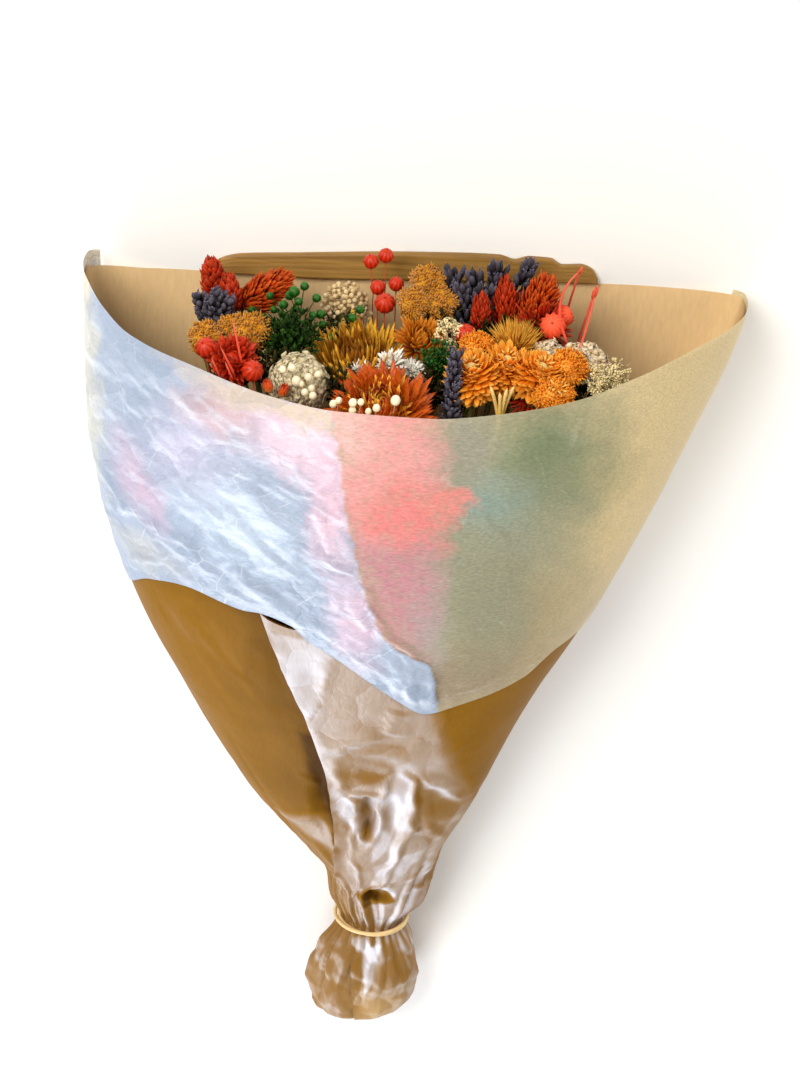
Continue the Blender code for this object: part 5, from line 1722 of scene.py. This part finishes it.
def spray_branches(name, count, size, axis, reach, foot_share=0.0, deep=0.35):
    """Feet and tips of branches that fan out of the head's foot into a half ball."""
    sprig = sprigs[name]
    radial, polar = spread(count, axis, 0.0, reach, 0.02)
    length = size * MM * (1 - deep * random.random(count))
    foot = np.repeat((sprig["low"] + (sprig["middle"] - sprig["low"]) * foot_share)[None], count, 0)
    return foot, sprig["middle"] + directions(radial, polar, axis) * length[:, None]


name = "cream_seed_spray"
foot, tip = spray_branches(name, 170, 11.2, axis_of(name, 0, 0.5), 1.75)
bow = (tip - foot) * np.array([0.08, -0.08, 0.0])
parts = [balls(tip, 1.0 * MM * uneven(len(tip), 0.12), None, 1, 6, 8, tint=random.random(len(tip))),
         rods(foot, tip, bow, 0.18 * MM, 5, 3, use=1)]
head_piece(name, parts, "cream_ball pale_twig")

name = "caspia_spray"
foot, tip = spray_branches(name, 34, 13.0, axis_of(name, 0.5, 0.5), 1.6, 0.3, 0.3)
tip = tip + mm(-1.5, -4, 1.5)
which = np.repeat(np.arange(len(tip)), 16)
share = np.tile(np.linspace(0.35, 1.0, 16), len(tip))[:, None]
places = foot[which] + (tip - foot)[which] * share + random.normal(size=(len(which), 3)) * 0.6 * MM
ways = unit(random.normal(size=places.shape) + unit(tip - foot)[which] * 0.8)
parts = [florets(places, ways, 1.5 * MM, 4, 0.8, 0.36), rods(foot, tip, 0 * foot, 0.22 * MM, 5, 3, use=1)]
head_piece(name, parts, "cream_petal pale_twig")

# %% Brooms
BRANCHES, BLOSSOMS = 60, 26
for name, size in (("coral_broom", 17.0), ("teal_broom", 16.0)):
    sprig = sprigs[name]
    axis = axis_of(name)
    spot = random.random((BRANCHES, 2)) * (2 * np.pi, 1)
    across = np.stack([np.cos(spot[:, 0]), 0 * spot[:, 0], np.sin(spot[:, 0]) * 0.45], 1)
    tip = (sprig["low"] + axis * (sprig["length"] * (0.35 + 0.7 * random.random(BRANCHES)))[:, None]
           + across * (np.sqrt(spot[:, 1]) * size * MM)[:, None] + mm(0, 0, 9))
    foot = sprig["low"] + axis * (sprig["length"] * 0.25 * random.random(BRANCHES))[:, None]
    bow = across * (-0.08 * size * MM)
    which = np.repeat(np.arange(BRANCHES), BLOSSOMS)
    t = np.tile(np.linspace(0.3, 1.0, BLOSSOMS), BRANCHES)
    t = (t + random.normal(size=len(which)) * 0.01)[:, None]
    places = foot[which] + (tip - foot)[which] * t + 4 * bow[which] * t * (1 - t)
    places = places + random.normal(size=places.shape) * 1.1 * MM
    blossom = balls(places, 0.85 * MM * uneven(len(which), 0.3), None, 1.3, 4, 5,
                    tint=random.random(len(which)))
    make_piece("flower_" + name, [blossom, rods(foot, tip, bow, 0.3 * MM, 7, 4), stem_part(name, 0.8, 0)],
               "broom_" + name.split("_")[0], [name])
print("spray triangles:", count_of("caspia"), count_of("broom"))

# %% [markdown]
# ## Strawflowers
#
# A strawflower is made of stiff, shiny bracts in a spiral. The innermost stand up and curl
# over the middle, and the outer ones open wide and bend back. Lean, curl and length are read
# from short tables by how far out a bract stands, so a table changes the flower's character.

# %% Strawflowers


def strawflower(centre, radius, count, axis, tables, wide, swirl=0.0, use=0):
    """A spiral of bracts.

    tables gives lean, curl, length and distance from the axis against the share from the
    innermost bract to the outermost; swirl turns every bract sideways out of its plane.
    """
    share = (np.arange(count) + 0.5) / count
    radial = round_turns(count, axis)
    out = unit(radial + swirl * np.cross(axis, radial))
    places = np.linspace(0, 1, len(tables[0]))
    lean, curl, long, away = [np.interp(share, places, table) for table in tables]
    base = centre + radial * (away * radius)[:, None] - axis * (0.25 * radius * share)[:, None]
    half = radius * wide * (0.7 + 0.5 * share) * uneven(count)
    return blades(base, out, axis, long * radius * uneven(count, 0.1), half,
                  lean + loose(count, 0.08), curl + loose(count, 0.12),
                  (0, 0.55, 0.9, 1, 0.85, 0.5, 0), 0.14, cup=0.3, sides=6,
                  tint=np.clip(share + loose(count, 0.12), 0, 1), use=use)


# lean, curl, length and distance from the axis, from the innermost bract to the outermost
DOME = ((1.9, 1.6, 1.2, 0.85, 0.5, 0.2), (1.2, 1.1, 0.8, 0.5, 0.2, -0.1),
        (0.45, 0.62, 0.80, 0.95, 1.0, 0.95), (0.16, 0.22, 0.26, 0.28, 0.30, 0.30))
CUP = ((1.5, 1.3, 1.1, 0.9, 0.7, 0.55), (0.9, 0.8, 0.6, 0.5, 0.4, 0.35),
       (0.42, 0.58, 0.78, 0.92, 1.0, 0.95), (0.10, 0.16, 0.22, 0.26, 0.28, 0.28))
DAISY = ((1.5, 1.2, 0.8, 0.35), (0.2, 0.1, -0.2, -0.4), (0.4, 0.7, 1.0, 1.0), (0.05, 0.1, 0.15, 0.18))
FLOWERS = (  # name, radius, bracts, across, rise, swirl, width, tables, finish, place of its foot
    ("strawflower_orange", 18.5, 400, -0.15, 0.55, 0.6, 0.095, DOME, "straw_orange", (-9, 352, 93)),
    ("strawflower_golden", 21.0, 400, -0.20, 0.30, 0.30, 0.085, CUP, "straw_gold", (-21, 357, 60)),
    ("strawflower_amber", 10.5, 190, 0.15, 0.45, 0.5, 0.120, DOME, "straw_amber", (5, 370, 58)))
for name, radius, count, across, rise, swirl, wide, tables, finish, place in FLOWERS:
    centre = to_metres(*place)
    axis = axis_of(name, across, rise)
    parts = [strawflower(centre, radius * MM, count, axis, tables, wide, swirl)]
    if name == "strawflower_orange":
        parts.append(strawflower(centre + axis * 3.6 * MM, 12.5 * MM, 150, axis, tables, 0.11, 0.8, 2))
    head_piece(name, parts, finish + " dried_stem straw_inner", 1.1)
print("strawflower triangles:", count_of("strawflower"))

# %% [markdown]
# ## Daisies, thistle, twig and buds
#
# The last small things: papery daisies seen from the side, a fan of golden needles, a twig
# forked into four, and two coral stems that rise above the rest with a bud at the tip.

# %% Daisies
DAISIES = (("daisy_1", 6.4, -0.1, 0.5, (-7, 365, 71)), ("daisy_2", 5.2, 0.3, 0.5, (2, 363, 71)))
for name, size, across, rise, place in DAISIES:
    flower = strawflower(to_metres(*place), size * MM, 110, axis_of(name, across, rise), DAISY, 0.13)
    head_piece(name, [flower], "daisy_petal dried_stem")
print("daisy triangles:", count_of("daisy"))

# %% Golden thistle
NEEDLES = 460
name = "thistle_golden"
axis = axis_of(name, 0.0, 0.25)
radial, polar = spread(NEEDLES, axis, 0.0, 1.0, 0.01)
out = directions(radial, polar, axis)
foot = sprigs[name]["low"] + axis * 2.0 * MM
spines = blades(foot + out * 1.2 * MM, out, square_to(out), 13.5 * MM * uneven(NEEDLES, 0.1), 0.32 * MM,
                loose(NEEDLES, 0.08), loose(NEEDLES, 0.2),
                (0, 1, 0.9, 0.6, 0), 0.8, sides=4, tint=random.random(NEEDLES))
cup = tiled_dome(foot, 4.2 * MM, axis, 80, 1.0, 0.2, 0.9, 2.6, -0.9, 0.4)
head_piece(name, [spines, cup], "thistle_needle dried_stem", 0.9)
print("thistle triangles:", count_of("thistle"))

# %% Forked twig and coral bud stems
sprig = sprigs["forked_twig"]
tips = sprig["middle"] + np.array([(-5.1, 9.6, 2), (-1.2, 7.8, 4), (1.6, 9.4, 3), (4.4, 9.8, 1)]) * MM
foot = np.repeat((sprig["low"] - mm(0, 2, 0))[None], 4, axis=0)
bow = (tips - foot) * np.array([-0.15, 0.0, 0.1])
twig = rods(foot, tips, bow, 0.85 * MM, 10, 7, taper=0.8)
make_piece("flower_twig", [twig, stem_part("forked_twig", 0.8, 0)], "fork_gold",
           ["forked_twig"])
BUD_STEMS = (  # name, length and width of the bud, foot of the arch and its bow
    ("bud_stem_1", 3.0, 1.5, (63, 374, 60), (-6, 2, 2)), ("bud_stem_2", 7.0, 1.3, (58, 362, 84), (1, -1, 6)))
for name, bud_long, bud_wide, place, bow in BUD_STEMS:
    sprig = sprigs[name]
    axis = unit(sprig["high"] - sprig["low"])
    base = sprig["middle"] - axis * bud_long * 0.5 * MM + loose((9, 3), 0.15) * MM
    buds = blades(base, round_turns(9, axis), axis, bud_long * MM * uneven(9, 0.2),
                  bud_wide * 0.5 * MM, 1.25, 0.4, (0, 0.8, 1, 0.7, 0), 0.6, sides=5)
    arch = rods(to_metres(*place)[None], sprig["middle"][None], mm(bow), 0.6 * MM, 14, 6,
                taper=0.7)
    make_piece("flower_" + name, [buds, arch, stem_part(name, 0.55, 0, 40)], "bud_coral",
               [name])
print("bud stem triangles:", count_of("bud_stem"))

# %% [markdown]
# ## Small things between the heads
#
# Cream balls on threads in front of two flowers, two orange buds, red sticks, red petals, a
# third daisy and dark leaves fill the gaps. They are not in the frame, so they ride on the
# body as they are.

# %% Fillers
BALLS = {  # name: the flower; places from its middle, with the balls' radius; feet from the balls
    "balls_left": ("white_ball_flower", (
        (-1, 10, 12, 1.5), (-4.5, 9, 12, 1.4), (5.5, 7, 13, 1.5), (9, 8, 12, 1.3), (1, 5.5, 14, 1.9),
        (4.5, 1.5, 15, 1.5), (7, 3, 14, 1.4), (7.5, 0, 14, 1.6), (3, 4.5, 14, 1.2)), (0.5, -7, -4)),
    "balls_front": ("strawflower_orange", (
        (-12, 4.5, 17, 1.6), (-9, 5, 17, 1.3), (4, 7, 18, 1.9), (-3, 3, 17, 1.5), (-12, 1, 16, 1.5),
        (-19.5, 2, 13, 1.5), (-17.5, 3.5, 13, 1.3), (-6, 1, 16, 1.3)), (-1.5, -9, -2))}
for name, (flower, places, foot_shift) in BALLS.items():
    places = np.array(places, dtype=float)
    tips = sprigs[flower]["middle"] + places[:, :3] * MM
    feet = tips + mm(*foot_shift)
    parts = [balls(tips, places[:, 3] * MM, unit(tips - feet), 1.15, 9, 12),
             rods(feet, tips, (tips - feet) * np.array([0.1, -0.1, 0.1]), 0.25 * MM, 6, 4, use=1)]
    make_piece(name, parts, "pale_ball pale_twig")

places = sprigs["white_ball_flower"]["middle"] + np.array([(-9, -1, 12), (-4.5, -2, 13)]) * MM
ways = unit(np.array([(-0.25, 0.95, 0.2), (0.2, 0.95, 0.2)]))
buds = blades(np.repeat(places, 7, 0), round_turns(14, ways[0], 0.9), np.repeat(ways, 7, 0), 7.0 * MM,
              1.7 * MM, 0.8, 1.2, (0, 0.8, 1, 0.8, 0.4, 0), 0.25, cup=0.3, sides=5)
make_piece("orange_buds", [buds], "bud_orange")

middle = sprigs["flax_pod_left_2"]["middle"]
feet = middle + np.array([(5.5, -1.3, 8), (3.3, -5.6, 8), (-2.9, -6.0, 8), (2.0, -6.5, 8)]) * MM
tips = middle + np.array([(0.8, 19.9, 8), (-3.6, 8.3, 9), (-7.0, 3.1, 8), (-1.5, 2.0, 9)]) * MM
make_piece("red_sticks", [rods(feet, tips, 0 * feet, 0.55 * MM, 5, 6)], "bud_coral")

RED_DOMES = (  # the sprig it is beside, shift, radius, the way it faces, petals, their shape
    ("flax_pod_left_2", (0.5, -1.5, -2.0), 8.0, (0.2, 0.6, 0.8), 110, 0.7, 0.15, 0.1, 1.8, 0.3, -0.7),
    ("orange_head_4", (0, -9.0, -4), 8.0, (0.2, 0.6, 0.8), 90, 0.8, 0.09, 0.1, 1.8, 0.3, -0.5),
    ("coral_pod_1", (-3.0, -3.0, -6), 9.0, (0.0, 0.8, 0.6), 110, 0.9, 0.08, 0.1, 1.8, 0.2, -0.4))
parts = []
for sprig, shift, radius, way, *shape in RED_DOMES:
    parts.append(tiled_dome(moved(sprig, *shift), radius * MM, unit(np.array(way)), *shape))
    if sprig == "flax_pod_left_2":
        parts.append(balls(moved(sprig, *shift)[None], 5.5 * MM, np.array([0.0, 0, 1]), 1, 7, 12))
make_piece("red_petals", parts, "red_petal")

third = strawflower(to_metres(-19, 362, 74), 5.6 * MM, 90, unit(np.array([-0.2, 0.9, 0.35])), DAISY, 0.08)
make_piece("daisy_behind", [third], "daisy_petal")

LEAF_PLACES = (  # x, station, z and size
    (-68, 357, 66, 12), (-48, 357, 72, 11), (-26, 356, 80, 12), (22, 358, 74, 12), (44, 359, 66, 13),
    (62, 362, 62, 12), (-30, 366, 44, 12), (12, 368, 42, 13), (32, 370, 40, 13), (52, 370, 44, 11),
    (-62, 364, 50, 12), (11, 359, 76, 9), (67, 360, 72, 10), (-55, 360, 74, 8))
parts = []
for *place, size in LEAF_PLACES:
    place = to_metres(*place)
    foot = place - mm(0, 14, 6)
    parts += bush(foot, place, unit(np.array([0, 0.9, 0.45])), 110, size * 0.8, 4.5, 1.0, 2.2)
make_piece("dark_leaves", parts, "dark_leaf green_leaf")
print("filler triangles:", count_of("balls_") + count_of("red_") + count_of("leaves"))

# %% [markdown]
# ## The end
#
# The last line counts the triangles of all the pieces.

# %% Finish
print("triangles:", sum(triangles.values()))
